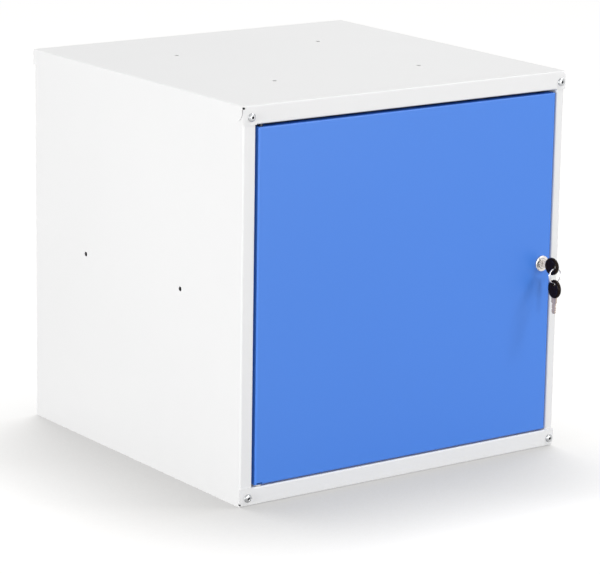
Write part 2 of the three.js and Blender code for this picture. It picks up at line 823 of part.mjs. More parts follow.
// Moulded oval head of a key, with its ring hole and the pocket that the neck sits in.
function keyHead() {
  const shape = new THREE.Shape();
  shape.absellipse(
    -neckLength - headLength / 2, 0,
    headLength / 2 - headBevel, headWidth / 2 - headBevel, 0, 2 * Math.PI);
  const hole = new THREE.Path();
  hole.absarc(-ringHoleBack, 0, ringHoleRadius + headBevel, 0, 2 * Math.PI);
  shape.holes.push(hole);
  const flat = headThickness - 2 * headBevel;
  const geometry = new THREE.ExtrudeGeometry(shape, {
    depth: flat,
    bevelThickness: headBevel,
    bevelSize: headBevel,
    bevelSegments: 2,
    curveSegments: turnedSides / 2,
  });
  geometry.applyMatrix4(new THREE.Matrix4().makeBasis(Y, Z, X).setPosition(-flat / 2, 0, 0));
  const pocket = neckWidth / 2 + seatGap;
  const deep = -neckLength - tangLength - seatGap;
  const slot = bladeThickness / 2 + seatGap;
  return solidOf(geometry).subtract(boxSolid(-slot, slot, deep, 0, -pocket, pocket));
}

// Split ring, drawn as its two turns of wire lying side by side in the plane of X and Z.
function splitRing() {
  const meet = Math.asin(ringTurnOffset / ringWireRadius);
  const sweep = Math.PI + 2 * meet;
  const profile = [];
  for (const side of [1, -1]) {
    const start = side > 0 ? -meet : Math.PI - meet;
    for (let i = 0; i < ringWireSteps; i += 1) {
      const angle = start + (sweep * i) / ringWireSteps;
      profile.push([
        ringRadius + ringWireRadius * Math.cos(angle),
        side * ringTurnOffset + ringWireRadius * Math.sin(angle),
      ]);
    }
  }
  profile.push(profile[0]);
  return turned(profile, spanY, turnedSides);
}

// Painted steel, plated steel, nickel, brass, nylon and moulded plastic
const cabinetPaint = { color: 0xeeeeee, roughness: 0.5, metalness: 0 };
const doorPaint = { color: 0x3d7be0, roughness: 0.45, metalness: 0 };
const zinc = { color: 0xc9cbcc, roughness: 0.35, metalness: 0.9 };
const nickel = { color: 0xd0cdc6, roughness: 0.25, metalness: 1 };
const brass = { color: 0xb9a06a, roughness: 0.35, metalness: 1 };
const nylon = { color: 0xe9e8e2, roughness: 0.6, metalness: 0 };
const blackPlastic = { color: 0x141414, roughness: 0.35, metalness: 0 };

function piece(parent, name, form, finish, place = [0, 0, 0]) {
  const geometry = form instanceof THREE.BufferGeometry ? form : geometryOf(form);
  const mesh = new THREE.Mesh(geometry, new THREE.MeshStandardMaterial(finish));
  mesh.name = name;
  mesh.position.set(...place);
  parent.add(mesh);
  return mesh;
}

function buildCabinet() {
  const cabinet = new THREE.Group();
  piece(cabinet, 'top_panel', topPanel(), cabinetPaint);
  piece(cabinet, 'bottom_panel', bottomPanel(), cabinetPaint);
  piece(cabinet, 'left_side_panel', sidePanel(-1, hingeStileWidth, false), cabinetPaint);
  piece(cabinet, 'right_side_panel', sidePanel(1, lockStileWidth, true), cabinetPaint);
  piece(cabinet, 'back_panel', backPanel(), cabinetPaint);
  addCornerFasteners(cabinet);
  addBackRivets(cabinet);
  addHingePins(cabinet);
  return cabinet;
}

// A screw and nut at each front and rear corner. The rear ones also clamp the back panel.
function addCornerFasteners(cabinet) {
  const screw = geometryOf(cornerScrew(screwLength));
  const nut = ringPlate(hexagon(0, 0, nutWidth), screwRadius + seatGap, 0, nutHeight);
  const ends = [
    { label: 'front', face: front, into: 1, sheets: 2 },
    { label: 'rear', face: rear, into: -1, sheets: 3 },
  ];
  const levels = [
    { label: 'top', z: height - screwDropTop },
    { label: 'bottom', z: screwRiseBottom },
  ];
  for (const end of ends) {
    for (const level of levels) {
      for (const side of [-1, 1]) {
        const corner = `${end.label}_${level.label}_${side < 0 ? 'left' : 'right'}`;
        const headSeat = end.face - end.into * seatGap;
        const nutSeat = end.face + end.into * end.sheets * lap;
        const x = side < 0 ? screwPlaces[0] : screwPlaces[1];
        const turn = end.into > 0 ? 0 : Math.PI;
        piece(cabinet, `screw_${corner}`, screw, zinc, [x, headSeat, level.z]).rotation.z = turn;
        piece(cabinet, `nut_${corner}`, nut, zinc, [x, nutSeat, level.z]).rotation.z = turn;
      }
    }
  }
}

// Rivets that hold the upright edges of the back panel to the rear flanges of the sides.
function addBackRivets(cabinet) {
  const rivet = backRivet(seatGap + sheet + lap);
  for (const side of [-1, 1]) {
    rivetHeights().forEach((z, i) => {
      const name = `back_rivet_${side < 0 ? 'left' : 'right'}_${i + 1}`;
      const x = side * (sideOuter - rivetInset);
      piece(cabinet, name, rivet, zinc, [x, rearFlangeFace + seatGap, z]).rotation.z = Math.PI;
    });
  }
}

// A headed pin at each end of the door's hinge edge, and the bush that the door stands on.
function addHingePins(cabinet) {
  const lowerSeat = openingFoot - sheet - seatGap;
  const upperSeat = openingTop + sheet + seatGap;
  const upperPlace = [pivotX, pivotY, upperSeat];
  piece(cabinet, 'lower_hinge_pin', hingePin(footGap), zinc, [pivotX, pivotY, lowerSeat]);
  piece(cabinet, 'upper_hinge_pin', hingePin(topGap), zinc, upperPlace).rotation.x = Math.PI;
  piece(cabinet, 'lower_hinge_bush', hingeBush(), nylon, [pivotX, pivotY, openingFoot + seatGap]);
}

function buildDoor() {
  const door = new THREE.Group();
  piece(door, 'door_skin', doorSkin(), doorPaint);
  piece(door, 'door_stiffener', doorStiffener(), doorPaint);
  const lock = new THREE.Group();
  lock.position.set(lockX, 0, lockZ);
  door.add(lock);
  piece(lock, 'lock_housing', lockHousing(), nickel);
  const nutFront = front + lap;
  piece(lock, 'lock_nut', lockNut(nutFront, nutFront + lockNutHeight), nickel);
  piece(lock, 'lock_plug', lockPlug(), brass);
  piece(lock, 'stop_washer', stopWasher(), zinc);
  piece(lock, 'lock_cam', lockCam(), zinc);
  const stubHole = stubRadius + seatGap;
  const washerBack = camWasherFront + camWasherHeight;
  const washerOutline = circle(0, 0, camWasherRadius, smallSides);
  piece(lock, 'cam_washer', ringPlate(washerOutline, stubHole, camWasherFront, washerBack), zinc);
  const nutOutline = hexagon(0, 0, camNutWidth);
  piece(lock, 'cam_nut', ringPlate(nutOutline, stubHole, camNutFront, camNutFront + camNutHeight), zinc);
  lock.add(buildKeys());
  return door;
}

// The key in the lock, the ring through its head, and the spare key that hangs from the ring.
function buildKeys() {
  const blade = keyBlade();
  const head = geometryOf(keyHead());
  const key = new THREE.Group();
  key.position.set(0, plugFace - seatGap, 0);
  piece(key, 'key_blade', blade, nickel);
  piece(key, 'key_head', head, blackPlastic);
  const ring = new THREE.Group();
  ring.position.set(0, -ringHoleBack, -ringDrop - ringRadius);
  key.add(ring);
  piece(ring, 'key_ring', splitRing(), nickel);
  const spare = new THREE.Group();
  spare.position.set(0, 0, -ringRadius - ringDrop - ringHoleBack);
  spare.rotation.x = -Math.PI / 2;
  ring.add(spare);
  piece(spare, 'spare_key_blade', blade, nickel);
  piece(spare, 'spare_key_head', head, blackPlastic);
  return key;
}

const locker = new THREE.Group();
locker.add(buildCabinet());
locker.add(buildDoor());

export default locker;
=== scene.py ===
"""Finish of a steel cube locker, laid out as an add-on and run as a script.

The packed model is the frame. Folded sheets and plates keep its shape and get rounded edges.
Turned, moulded and wound parts are rebuilt finer, in the places that the frame gives them.
Lengths are in metres. X runs to the right, Y to the back and Z up.
"""

import json
import math

import bmesh
import bpy
from mathutils import Matrix, Quaternion, Vector


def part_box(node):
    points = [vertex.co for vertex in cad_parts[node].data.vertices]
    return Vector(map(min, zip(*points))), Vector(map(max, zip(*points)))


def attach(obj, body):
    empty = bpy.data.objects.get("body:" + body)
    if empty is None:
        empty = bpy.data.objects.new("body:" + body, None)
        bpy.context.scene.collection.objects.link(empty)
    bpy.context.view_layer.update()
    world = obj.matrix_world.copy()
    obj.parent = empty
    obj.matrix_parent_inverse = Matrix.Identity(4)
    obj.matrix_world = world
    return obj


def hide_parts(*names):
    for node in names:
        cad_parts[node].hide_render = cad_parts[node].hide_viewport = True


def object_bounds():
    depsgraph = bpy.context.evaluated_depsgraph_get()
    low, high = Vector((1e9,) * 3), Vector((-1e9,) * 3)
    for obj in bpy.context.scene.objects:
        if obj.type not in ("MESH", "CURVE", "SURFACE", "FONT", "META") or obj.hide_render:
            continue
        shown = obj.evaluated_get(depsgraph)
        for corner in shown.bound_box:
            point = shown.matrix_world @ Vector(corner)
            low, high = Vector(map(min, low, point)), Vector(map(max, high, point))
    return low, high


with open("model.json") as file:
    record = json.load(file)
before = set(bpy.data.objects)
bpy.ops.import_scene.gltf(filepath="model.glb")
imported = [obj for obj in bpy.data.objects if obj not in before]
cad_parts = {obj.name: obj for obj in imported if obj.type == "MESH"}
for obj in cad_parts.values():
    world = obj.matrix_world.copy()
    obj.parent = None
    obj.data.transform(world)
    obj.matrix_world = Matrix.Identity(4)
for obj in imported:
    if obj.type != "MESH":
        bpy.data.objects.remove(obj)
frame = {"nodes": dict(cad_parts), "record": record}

bl_info = {
    "name": "Cube locker",
    "version": (1, 0, 0),
    "blender": (4, 5, 0),
    "location": "3D View > Sidebar > Locker",
    "description": "Builds the finished pieces of a steel cube locker round its packed model",
    "category": "Object",
}

CAD_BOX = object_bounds()
NODE_BODY = {
    node: body
    for body, nodes in frame["record"]["behaviour"]["bodies"].items()
    for node in nodes
}
NODE_SLOT = {row["node"]: row["material_slot"] for row in frame["record"]["subparts"]}

SHEET_NODES = ("top_panel", "bottom_panel", "left_side_panel", "right_side_panel", "back_panel")
DOOR_NODES = ("door_skin", "door_stiffener")
PLATE_NODES = ("lock_cam", "stop_washer", "cam_washer")

MM = 0.001
FULL_TURN = 2 * math.pi
QUARTER_TURN = math.pi / 2

# How finely the meshes are made
SHARP_ANGLE = math.radians(40)
FLAT_ANGLE = math.radians(0.5)
MERGE_DISTANCE = 1e-6
NEARLY_ZERO = 0.001
EDGE_STEPS = 2
CORNER_STEPS = 3
CORNER_SHARE = 0.45
DOME_STEPS = 8
CROWN_STEPS = 5
RIM_STEPS = 60
HEAD_ROUND_STEPS = 7
CHAMFER_STEPS = 4
WOUND_STEPS = 192
WIRE_SIDES = 12
TURNED_SIDES = 96
SMALL_SIDES = 48

# Small forms that the settings leave alone
THREAD_ROOM = 0.3 * MM
THREAD_CREST_END = 0.2
THREAD_ROOT_START = 0.5
THREAD_ROOT_END = 0.65
NUT_SLOPE = math.radians(30)
NUT_FACE_SHARE = 0.97
PIN_HEAD_START = 0.5
PIN_TIP_END = 0.3
BULB_STAND = 0.8 * MM
TAIL_LENGTH = 3.3 * MM
CROWN_FLATNESS = 0.6
BARREL_THREAD_DEPTH = 0.4 * MM
BARREL_RUNOUT = 0.5 * MM
RIM_OVERLAP = 0.2 * MM
HEAD_BACK_EDGE = 0.15 * MM
STUB_THREAD_DEPTH = 0.3 * MM
STUB_THREAD_PITCH = 0.8 * MM
STUB_RUNOUT = 0.6 * MM
STUB_END = 0.35 * MM
PLUG_FACE_DEPTH = 0.5 * MM
DISH_END_SHARE = 0.75
GROOVE_OFFSET = 0.7 * MM
GROOVE_STOP = 9 * MM
GROOVE_FLOOR_SHARE = 0.7

# Slopes of small profiles, as how far across and how far along the axis.
# A rivet's dome has shares of its head, and a dish has shares of its depth.
BORE_CHAMFER = (0.3 * MM, 0.35 * MM)
MOUTH_FLARE = (0.5 * MM, 0.25 * MM)
RIVET_DOME = ((0.6, 0.12), (0.85, 0.42), (0.97, 0.72), (1.0, 1.0))
PLUG_RIM = ((0.45 * MM, 0.0), (0.12 * MM, 0.12 * MM), (0.0, 0.45 * MM))
DISH_SLOPE = ((0.0, 0.0), (0.35 * MM, 0.35), (0.75 * MM, 0.9), (1.2 * MM, 1.0))
RING_HOLE_FLARE = ((0.0, 1.1 * MM), (0.2 * MM, 0.7 * MM), (0.7 * MM, -0.1 * MM))

# Sockets of a colour mix node, whose names aren't unique
MIX_SHARE, MIX_FIRST, MIX_SECOND, MIX_RESULT = 0, 6, 7, 2

# How much rougher the scuffs are, and how far a moulding's tone drifts
PAINT_SCUFFING = 0.05
PLATE_SCUFFING = 0.18
MOULDED_SCUFFING = 0.14
MOULDED_TONE_SPREAD = 0.08

# The colour of each paint
PAINTS = {"cabinet_paint": "cabinet_colour", "door_paint": "door_colour"}

# Colour, roughness, tone spread, grain in a metre, depth of the grain and metallic share
PLATES = {
    "zinc_plate": ("zinc_colour", 0.25, 0.1, 1800.0, 0.006 * MM, 1.0),
    # The spare blade's plate is painted shade: a darker, barely metallic copy of the blades' nickel
    # silver, standing in for the spare key's darker reflection.
    "worn_plate": ("worn_colour", 0.42, 0.1, 2400.0, 0.004 * MM, 0.2),
    # The dark steel is painted shade in the screws' sockets. On the hinge pins it is partly their own
    # dark steel and partly painted shade that keeps the upper pin dark in its gap.
    "dark_steel": ("dark_colour", 0.4, 0.1, 1800.0, 0.006 * MM, 1.0),
    "nickel_plate": ("nickel_colour", 0.2, 0.06, 2400.0, 0.003 * MM, 0.85),
    "brass": ("brass_colour", 0.25, 0.1, 2000.0, 0.005 * MM, 1.0),
}

# Colour, roughness, specular level and depth of the grain
PLASTICS = {
    "nylon": ("nylon_colour", 0.5, 0.5, 0.008 * MM),
    "black_plastic": ("plastic_colour", 0.24, 0.1, 0.004 * MM),
}

# Where each lamp stands, and how long its sides are
LAMPS = {
    "left": ((-3.2, -0.5, 0.5), 0.9),
    "front": ((0.4, -3.3, 0.5), 0.9),
    "right": ((1.5, -1.3, 2.5), 0.5),
    "low_right": ((1.6, -3.0, 0.6), 1.0),
    "rear": ((0.8, 2.0, 2.6), 2.4),
}


# Sizes and colours

def length(name, description, default):
    """A length in metres that a user can change."""
    return bpy.props.FloatProperty(
        name=name, description=description, default=default, min=0.0,
        precision=5, subtype="DISTANCE", unit="LENGTH")


def colour(name, description, default):
    """A colour in linear values that a user can change."""
    return bpy.props.FloatVectorProperty(
        name=name, description=description, default=default, min=0.0, max=1.0,
        size=3, subtype="COLOR")


def share(name, description, default):
    """A share from nothing to all that a user can change."""
    return bpy.props.FloatProperty(
        name=name, description=description, default=default, min=0.0, max=1.0, subtype="FACTOR")


def number(name, description, default):
    """A plain number that a user can change."""
    return bpy.props.FloatProperty(name=name, description=description, default=default, min=0.0)


def power(name, description, default):
    """A lamp's power in watts that a user can change."""
    return bpy.props.FloatProperty(
        name=name, description=description, default=default, min=0.0, unit="POWER")


def angle(name, description, degrees):
    """An angle that a user can change."""
    return bpy.props.FloatProperty(
        name=name, description=description, default=math.radians(degrees),
        subtype="ANGLE", unit="ROTATION")


class LockerPaint(bpy.types.PropertyGroup):
    """Powder coat of the cabinet and the door."""

    cabinet_colour: colour("Cabinet", "Powder coat of the cabinet", (0.86, 0.86, 0.86))
    door_colour: colour("Door", "Powder coat of the door", (0.061, 0.232, 0.79))
    roughness: share("Roughness", "Roughness of the powder coat", 0.38)
    tone_spread: share("Tone spread", "How much the coat's tone drifts over a panel", 0.018)
    peel_scale: number("Peel per metre", "Bumps of the coat in a metre", 700.0)
    peel_depth: length("Peel depth", "Depth of the coat's bumps", 0.03 * MM)
    wave_scale: number("Waves per metre", "Slow waves of the sheet in a metre", 7.0)
    wave_depth: length("Wave depth", "Depth of the sheet's slow waves", 0.25 * MM)
    sheet_edge: length("Sheet edge", "Radius on the cut edges of the sheet", 0.16 * MM)


class LockerMetal(bpy.types.PropertyGroup):
    """Plated and moulded finishes of the small parts."""

    zinc_colour: colour("Zinc", "Bright zinc plate", (0.52, 0.53, 0.54))
    nickel_colour: colour("Nickel", "Nickel plate of the lock and the keys", (0.8, 0.765, 0.74))
    brass_colour: colour("Brass", "Brass of the lock's plug", (0.66, 0.5, 0.22))
    # Painted shade: a darker copy of the blades' nickel silver, standing in for the spare key's darker
    # reflection.
    worn_colour: colour("Spare blade", "Worn nickel silver of the spare key", (0.49, 0.385, 0.31))
    # Painted shade in the screws' sockets. On the hinge pins it is partly their own dark steel and
    # partly painted shade for the upper pin in its gap.
    dark_colour: colour("Dark steel", "Oiled steel of the pins and the sockets", (0.06, 0.06, 0.065))
    plastic_colour: colour("Key plastic", "Black plastic of the key heads", (0.0095, 0.004, 0.0015))
    nylon_colour: colour("Nylon", "Natural nylon of the hinge bush", (0.78, 0.76, 0.7))
    plate_edge: length("Plate edge", "Radius on the edges of stamped plates", 0.15 * MM)


class LockerHardware(bpy.types.PropertyGroup):
    """Forms of the fasteners and the hinge pins."""

    head_height: length("Screw head", "Height of a button head", 2.7 * MM)
    head_rim: length("Head rim", "Straight rim under the dome of a button head", 0.5 * MM)
    socket_width: length("Socket", "Width across the flats of the socket", 3.0 * MM)
    socket_depth: length("Socket depth", "Depth of the socket", 1.5 * MM)
    shank_radius: length("Shank radius", "Outer radius of the screw thread", 2.5 * MM)
    thread_pitch: length("Thread pitch", "Distance from one thread to the next", 0.8 * MM)
    thread_depth: length("Thread depth", "Depth of the thread", 0.35 * MM)
    nut_chamfer: length("Nut chamfer", "Height of the chamfer on a nut's corners", 0.6 * MM)
    rivet_head: length("Rivet head", "Height of a rivet's head", 0.7 * MM)
    rivet_radius: length("Rivet radius", "Radius of a rivet's body", 1.6 * MM)
    mandrel_radius: length("Mandrel radius", "Radius of the broken stem in a rivet's head", 0.9 * MM)
    pin_radius: length("Pin radius", "Radius of a hinge pin", 2.5 * MM)
    pin_head: length("Pin head", "Height of a hinge pin's head", 2.0 * MM)
    bush_bore: length("Bush bore", "Radius of the bore of the hinge bush", 2.8 * MM)
    edge: length("Edge", "Radius on the edges of turned pieces", 0.25 * MM)


class LockerLock(bpy.types.PropertyGroup):
    """Forms of the lock, its keys and their ring."""

    head_height: length("Lock head", "Height of the lock's round head", 2.0 * MM)
    head_crown: length("Head crown", "Width of the rounded rim of the lock's head", 1.4 * MM)
    barrel_radius: length("Barrel radius", "Outer radius of the barrel's thread", 8.0 * MM)
    barrel_flats: length("Barrel flats", "Width across the flats of the barrel", 14.0 * MM)
    barrel_length: length("Barrel length", "From the lock's face to the end of its barrel", 17.1 * MM)
    barrel_pitch: length("Barrel pitch", "Distance from one thread of the barrel to the next", 1.0 * MM)
    bore_radius: length("Bore radius", "Bore that the plug turns in", 5.8 * MM)
    plug_radius: length("Plug radius", "Radius of the plug", 5.5 * MM)
    plug_length: length("Plug length", "From the plug's face to its shoulder", 17.4 * MM)
    square_width: length("Square", "Width of the square that drives the cam", 7.0 * MM)
    square_length: length("Square length", "From the plug's shoulder to the end of its square", 3.3 * MM)
    stub_radius: length("Stub radius", "Radius of the plug's threaded stub", 3.0 * MM)
    keyway_width: length("Keyway width", "Width of the keyway", 2.4 * MM)
    keyway_height: length("Keyway height", "Height of the keyway", 6.6 * MM)
    keyway_depth: length("Keyway depth", "Depth of the keyway", 14.0 * MM)
    rim_bore: length("Rim bore", "Inner radius of the stop rim behind the barrel", 6.3 * MM)
    tab_width: length("Tab width", "Width of the stop washer's tab, with its clearance", 3.6 * MM)
    nut_chamfer: length("Nut chamfer", "Height of the chamfer on the lock nut's corners", 1.0 * MM)
    head_round: length("Key head round", "Radius round the rim of a key head", 1.7 * MM)
    dish_inset: length("Dish inset", "From a key head's rim to its shallow dish", 2.6 * MM)
    dish_depth: length("Dish depth", "Depth of the dish in a key head", 0.35 * MM)
    hole_inset: length("Ring hole inset", "From the end of a key head to its ring hole", 5.0 * MM)
    hole_radius: length("Ring hole", "Radius of the ring hole of a key head", 2.4 * MM)
    groove_width: length("Blade groove", "Width of the groove milled along a blade", 1.2 * MM)
    groove_depth: length("Groove depth", "Depth of the groove milled along a blade", 0.4 * MM)
    wire_radius: length("Ring wire", "Radius of the key ring's wire", 0.5 * MM)
    ring_turn: length("Ring turn", "Distance between the two turns of the key ring", 0.9 * MM)
    ring_cross: angle("Ring crossing", "Arc in which the key ring's wire changes turns", 36.0)


class LockerStage(bpy.types.PropertyGroup):
    """Camera, floor and lights."""

    camera_place: bpy.props.FloatVectorProperty(
        name="Camera place", description="Where the camera stands",
        default=(-2.03683, -2.85888, 1.03589), size=3, subtype="XYZ", unit="LENGTH")
    azimuth: angle("Azimuth", "Turn of the view from straight ahead, to the right", -35.6077)
    elevation: angle("Elevation", "How far the camera looks down", 13.7569)
    roll: angle("Roll", "Tilt of the camera about its view", 0.8731)
    lens: bpy.props.FloatProperty(
        name="Lens", description="Focal length", default=182.428, min=1.0, unit="CAMERA")
    floor_size: length("Floor", "Side of the square floor", 60.0)
    floor_colour: colour("Floor", "Colour of the floor in the light on the locker", (0.4, 0.4, 0.4))
    seen_colour: colour("Seen floor", "Colour of the floor where it is seen", (0.167, 0.161, 0.153))
    floor_lift: share("Floor lift", "Light that the open floor adds where it is seen", 0.9)
    contact_reach: length("Contact reach", "How far the locker dims the floor's own light", 0.2)
    soft_way: bpy.props.FloatVectorProperty(
        name="Soft way", description="Way that the floor's own light comes from",
        default=(1.8, 2.5, 1.0), size=3, subtype="XYZ")
    closed_share: share("Closed share", "Open share of that light at which the floor is darkest", 0.42)
    darkest: share("Darkest", "Share of its own light that the floor keeps there", 0.5)
    sky_level: number("Sky", "Level of the light from all round", 0.485)
    left_power: power("Left", "Power of the low lamp at the left", 60.0)
    front_power: power("Front", "Power of the low lamp at the front", 30.0)
    right_power: power("Right", "Power of the high lamp at the front right", 22.0)
    low_right_power: power("Low right", "Power of the low lamp at the front right", 8.0)
    rear_power: power("Rear", "Power of the high lamp behind", 20.0)


# Node trees

def feed(tree, socket, value):
    """Links a socket to another one, or gives it a plain value."""
    if isinstance(value, bpy.types.NodeSocket):
        tree.links.new(value, socket)
    else:
        socket.default_value = value


def add_node(tree, kind, settings=None, inputs=None):
    """A new node with its settings, and its inputs by name or number."""
    made = tree.nodes.new(kind)
    for name, value in (settings or {}).items():
        setattr(made, name, value)
    for name, value in (inputs or {}).items():
        feed(tree, made.inputs[name], value)
    return made


def new_group(name, inputs, outputs):
    """An empty node group with number sockets, and its input and output nodes."""
    group = bpy.data.node_groups.new(name, "ShaderNodeTree")
    for label, default in inputs.items():
        socket = group.interface.new_socket(label, in_out="INPUT", socket_type="NodeSocketFloat")
        socket.default_value = default
    for label in outputs:
        group.interface.new_socket(label, in_out="OUTPUT", socket_type="NodeSocketFloat")
    return group, group.nodes.new("NodeGroupInput"), group.nodes.new("NodeGroupOutput")


def surface_grain():
    """Node group: fine grain, slow waves, drifting tone and scuffs over a surface."""
    name = "surface grain"
    if name in bpy.data.node_groups:
        return bpy.data.node_groups[name]
    group, given, out = new_group(
        name,
        {"Grain scale": 900.0, "Wave scale": 8.0, "Scuff scale": 90.0, "Scuff start": 0.55},
        ("Grain", "Waves", "Tone", "Scuffs"))
    place = group.nodes.new("ShaderNodeTexCoord").outputs["Object"]
    grain = add_node(group, "ShaderNodeTexNoise", inputs={
        "Vector": place, "Scale": given.outputs["Grain scale"], "Detail": 2.0, "Roughness": 0.6})
    waves = add_node(group, "ShaderNodeTexNoise", inputs={
        "Vector": place, "Scale": given.outputs["Wave scale"], "Detail": 1.0, "Roughness": 0.4})
    drift = add_node(group, "ShaderNodeMath", {"operation": "MULTIPLY"}, {
        0: given.outputs["Wave scale"], 1: 0.6})
    tone = add_node(group, "ShaderNodeTexNoise", inputs={
        "Vector": place, "Scale": drift.outputs[0], "Detail": 3.0, "Distortion": 0.4})
    stretched = add_node(group, "ShaderNodeMapping", {"vector_type": "TEXTURE"}, {
        "Vector": place, "Rotation": (0.6, 0.3, 0.5), "Scale": (3.0, 1.0, 1.0)})
    marks = add_node(group, "ShaderNodeTexNoise", inputs={
        "Vector": stretched.outputs[0], "Scale": given.outputs["Scuff scale"],
        "Detail": 4.0, "Roughness": 0.7})
    end = add_node(group, "ShaderNodeMath", {"operation": "ADD"}, {
        0: given.outputs["Scuff start"], 1: 0.2})
    scuffs = add_node(group, "ShaderNodeMapRange", {"interpolation_type": "SMOOTHSTEP"}, {
        "Value": marks.outputs[0], "From Min": given.outputs["Scuff start"],
        "From Max": end.outputs[0]})
    for label, made in (("Grain", grain), ("Waves", waves), ("Tone", tone), ("Scuffs", scuffs)):
        feed(group, out.inputs[label], made.outputs[0])
    return group


def new_material(name):
    """A material, its node tree and its shader."""
    made = bpy.data.materials.new(name)
    made.use_nodes = True
    return made, made.node_tree, made.node_tree.nodes["Principled BSDF"]


def add_grain(tree, values):
    """The surface grain in a material, with its own values."""
    made = tree.nodes.new("ShaderNodeGroup")
    made.node_tree = surface_grain()
    for name, value in values.items():
        made.inputs[name].default_value = value
    return made


def drifting_colour(tree, shader, base, spread, tone):
    """Feeds the base colour with a tone that drifts a little about the given colour."""
    blend = add_node(tree, "ShaderNodeMix", {"data_type": "RGBA"}, {
        MIX_SHARE: tone,
        MIX_FIRST: [*(c * (1 - spread) for c in base), 1.0],
        MIX_SECOND: [*(min(1.0, c * (1 + spread)) for c in base), 1.0]})
    feed(tree, shader.inputs["Base Color"], blend.outputs[MIX_RESULT])


def varied_roughness(tree, shader, low, high, scuffs):
    """Feeds the roughness with a value that rises where the surface is scuffed."""
    made = add_node(tree, "ShaderNodeMapRange", inputs={
        "Value": scuffs, "To Min": low, "To Max": high})
    feed(tree, shader.inputs["Roughness"], made.outputs[0])


def bumped(tree, height, distance, below=None):
    """A bump of a height, over another one when that is given."""
    inputs = {"Strength": 1.0, "Distance": distance, "Height": height}
    if below:
        inputs["Normal"] = below
    return add_node(tree, "ShaderNodeBump", inputs=inputs).outputs[0]


def powder_coat(name, base):
    """Satin powder coat: orange peel over the slow waves of a folded sheet."""
    paint = bpy.context.scene.locker_paint
    made, tree, shader = new_material(name)
    grain = add_grain(tree, {
        "Grain scale": paint.peel_scale, "Wave scale": paint.wave_scale,
        "Scuff scale": 40.0, "Scuff start": 0.56})
    drifting_colour(tree, shader, base, paint.tone_spread, grain.outputs["Tone"])
    rough = paint.roughness + PAINT_SCUFFING
    varied_roughness(tree, shader, paint.roughness, rough, grain.outputs["Scuffs"])
    waves = bumped(tree, grain.outputs["Waves"], paint.wave_depth)
    peel = bumped(tree, grain.outputs["Grain"], paint.peel_depth, waves)
    feed(tree, shader.inputs["Normal"], peel)
    return made


def plated(name, base, roughness, spread, grain_scale, grain_depth, metallic):
    """Plated, machined or oiled metal with fine grain and handling marks."""
    made, tree, shader = new_material(name)
    shader.inputs["Metallic"].default_value = metallic
    grain = add_grain(tree, {
        "Grain scale": grain_scale, "Wave scale": 160.0, "Scuff scale": 700.0, "Scuff start": 0.5})
    drifting_colour(tree, shader, base, spread, grain.outputs["Tone"])
    varied_roughness(tree, shader, roughness, roughness + PLATE_SCUFFING, grain.outputs["Scuffs"])
    feed(tree, shader.inputs["Normal"], bumped(tree, grain.outputs["Grain"], grain_depth))
    return made


def moulded(name, base, roughness, specular, grain_depth):
    """Moulded plastic with a fine spark texture and light scuffs."""
    made, tree, shader = new_material(name)
    shader.inputs["Specular IOR Level"].default_value = specular
    grain = add_grain(tree, {
        "Grain scale": 2600.0, "Wave scale": 120.0, "Scuff scale": 500.0, "Scuff start": 0.54})
    drifting_colour(tree, shader, base, MOULDED_TONE_SPREAD, grain.outputs["Tone"])
    varied_roughness(tree, shader, roughness, roughness + MOULDED_SCUFFING, grain.outputs["Scuffs"])
    feed(tree, shader.inputs["Normal"], bumped(tree, grain.outputs["Grain"], grain_depth))
    return made


def finish(look):
    """The material of a slot or of a part of a piece, built the first time that it is needed."""
    name = look.replace("_", " ")
    if name in bpy.data.materials:
        return bpy.data.materials[name]
    scene = bpy.context.scene
    if look in PAINTS:
        return powder_coat(name, getattr(scene.locker_paint, PAINTS[look]))
    maker, table = (plated, PLATES) if look in PLATES else (moulded, PLASTICS)
    colour_name, *values = table[look]
    return maker(name, getattr(scene.locker_metal, colour_name), *values)


# Meshes

def round_edges(work, radius):
    """Merges flat triangles into whole faces and rounds the sharp edges."""
    bmesh.ops.remove_doubles(work, verts=work.verts, dist=MERGE_DISTANCE)
    bmesh.ops.dissolve_limit(
        work, angle_limit=FLAT_ANGLE, verts=work.verts, edges=work.edges)
    sharp = [
        edge for edge in work.edges
        if len(edge.link_faces) == 2 and edge.calc_face_angle() > SHARP_ANGLE
    ]
    bmesh.ops.bevel(
        work, geom=sharp, offset=radius, offset_type="OFFSET", segments=EDGE_STEPS, profile=0.5,
        affect="EDGES", clamp_overlap=True)


def rounded_mesh(node, radius):
    """The solid of a node with its sharp edges rounded."""
    work = bmesh.new()
    work.from_mesh(frame["nodes"][node].data)
    round_edges(work, radius)
    mesh = bpy.data.meshes.new(f"{node}_rounded")
    work.to_mesh(mesh)
    work.free()
    return mesh


def hexagon_shape(flat_width, limit=None):
    """Radius at each angle of a hexagon, cut off by a circle when a limit is given."""
    sixth = math.pi / 3

    def radius(turn):
        flat = flat_width / 2 / math.cos((turn + sixth / 2) % sixth - sixth / 2)
        return min(flat, limit) if limit else flat

    return radius


def hexagon_corner(flat_width):
    """Radius to the corners of a hexagon."""
    return flat_width / 2 / math.cos(math.pi / 6)


def rectangle_shape(width, height):
    """Radius at each angle of a rectangle."""
    def radius(turn):
        across = max(abs(math.cos(turn)) / (width / 2), abs(math.sin(turn)) / (height / 2))
        return 1 / across

    return radius


def flatted_shape(radius, flat_width):
    """Radius at each angle of a circle with two flats."""
    return lambda turn: min(radius, flat_width / 2 / max(abs(math.cos(turn)), NEARLY_ZERO))


def steps_between(first, last, steps):
    """Evenly spaced values from the first to the last, both included."""
    return [first + (last - first) * i / steps for i in range(steps + 1)]


def round_turns(sides):
    """Evenly spaced angles round a full turn."""
    return [FULL_TURN * i / sides for i in range(sides)]


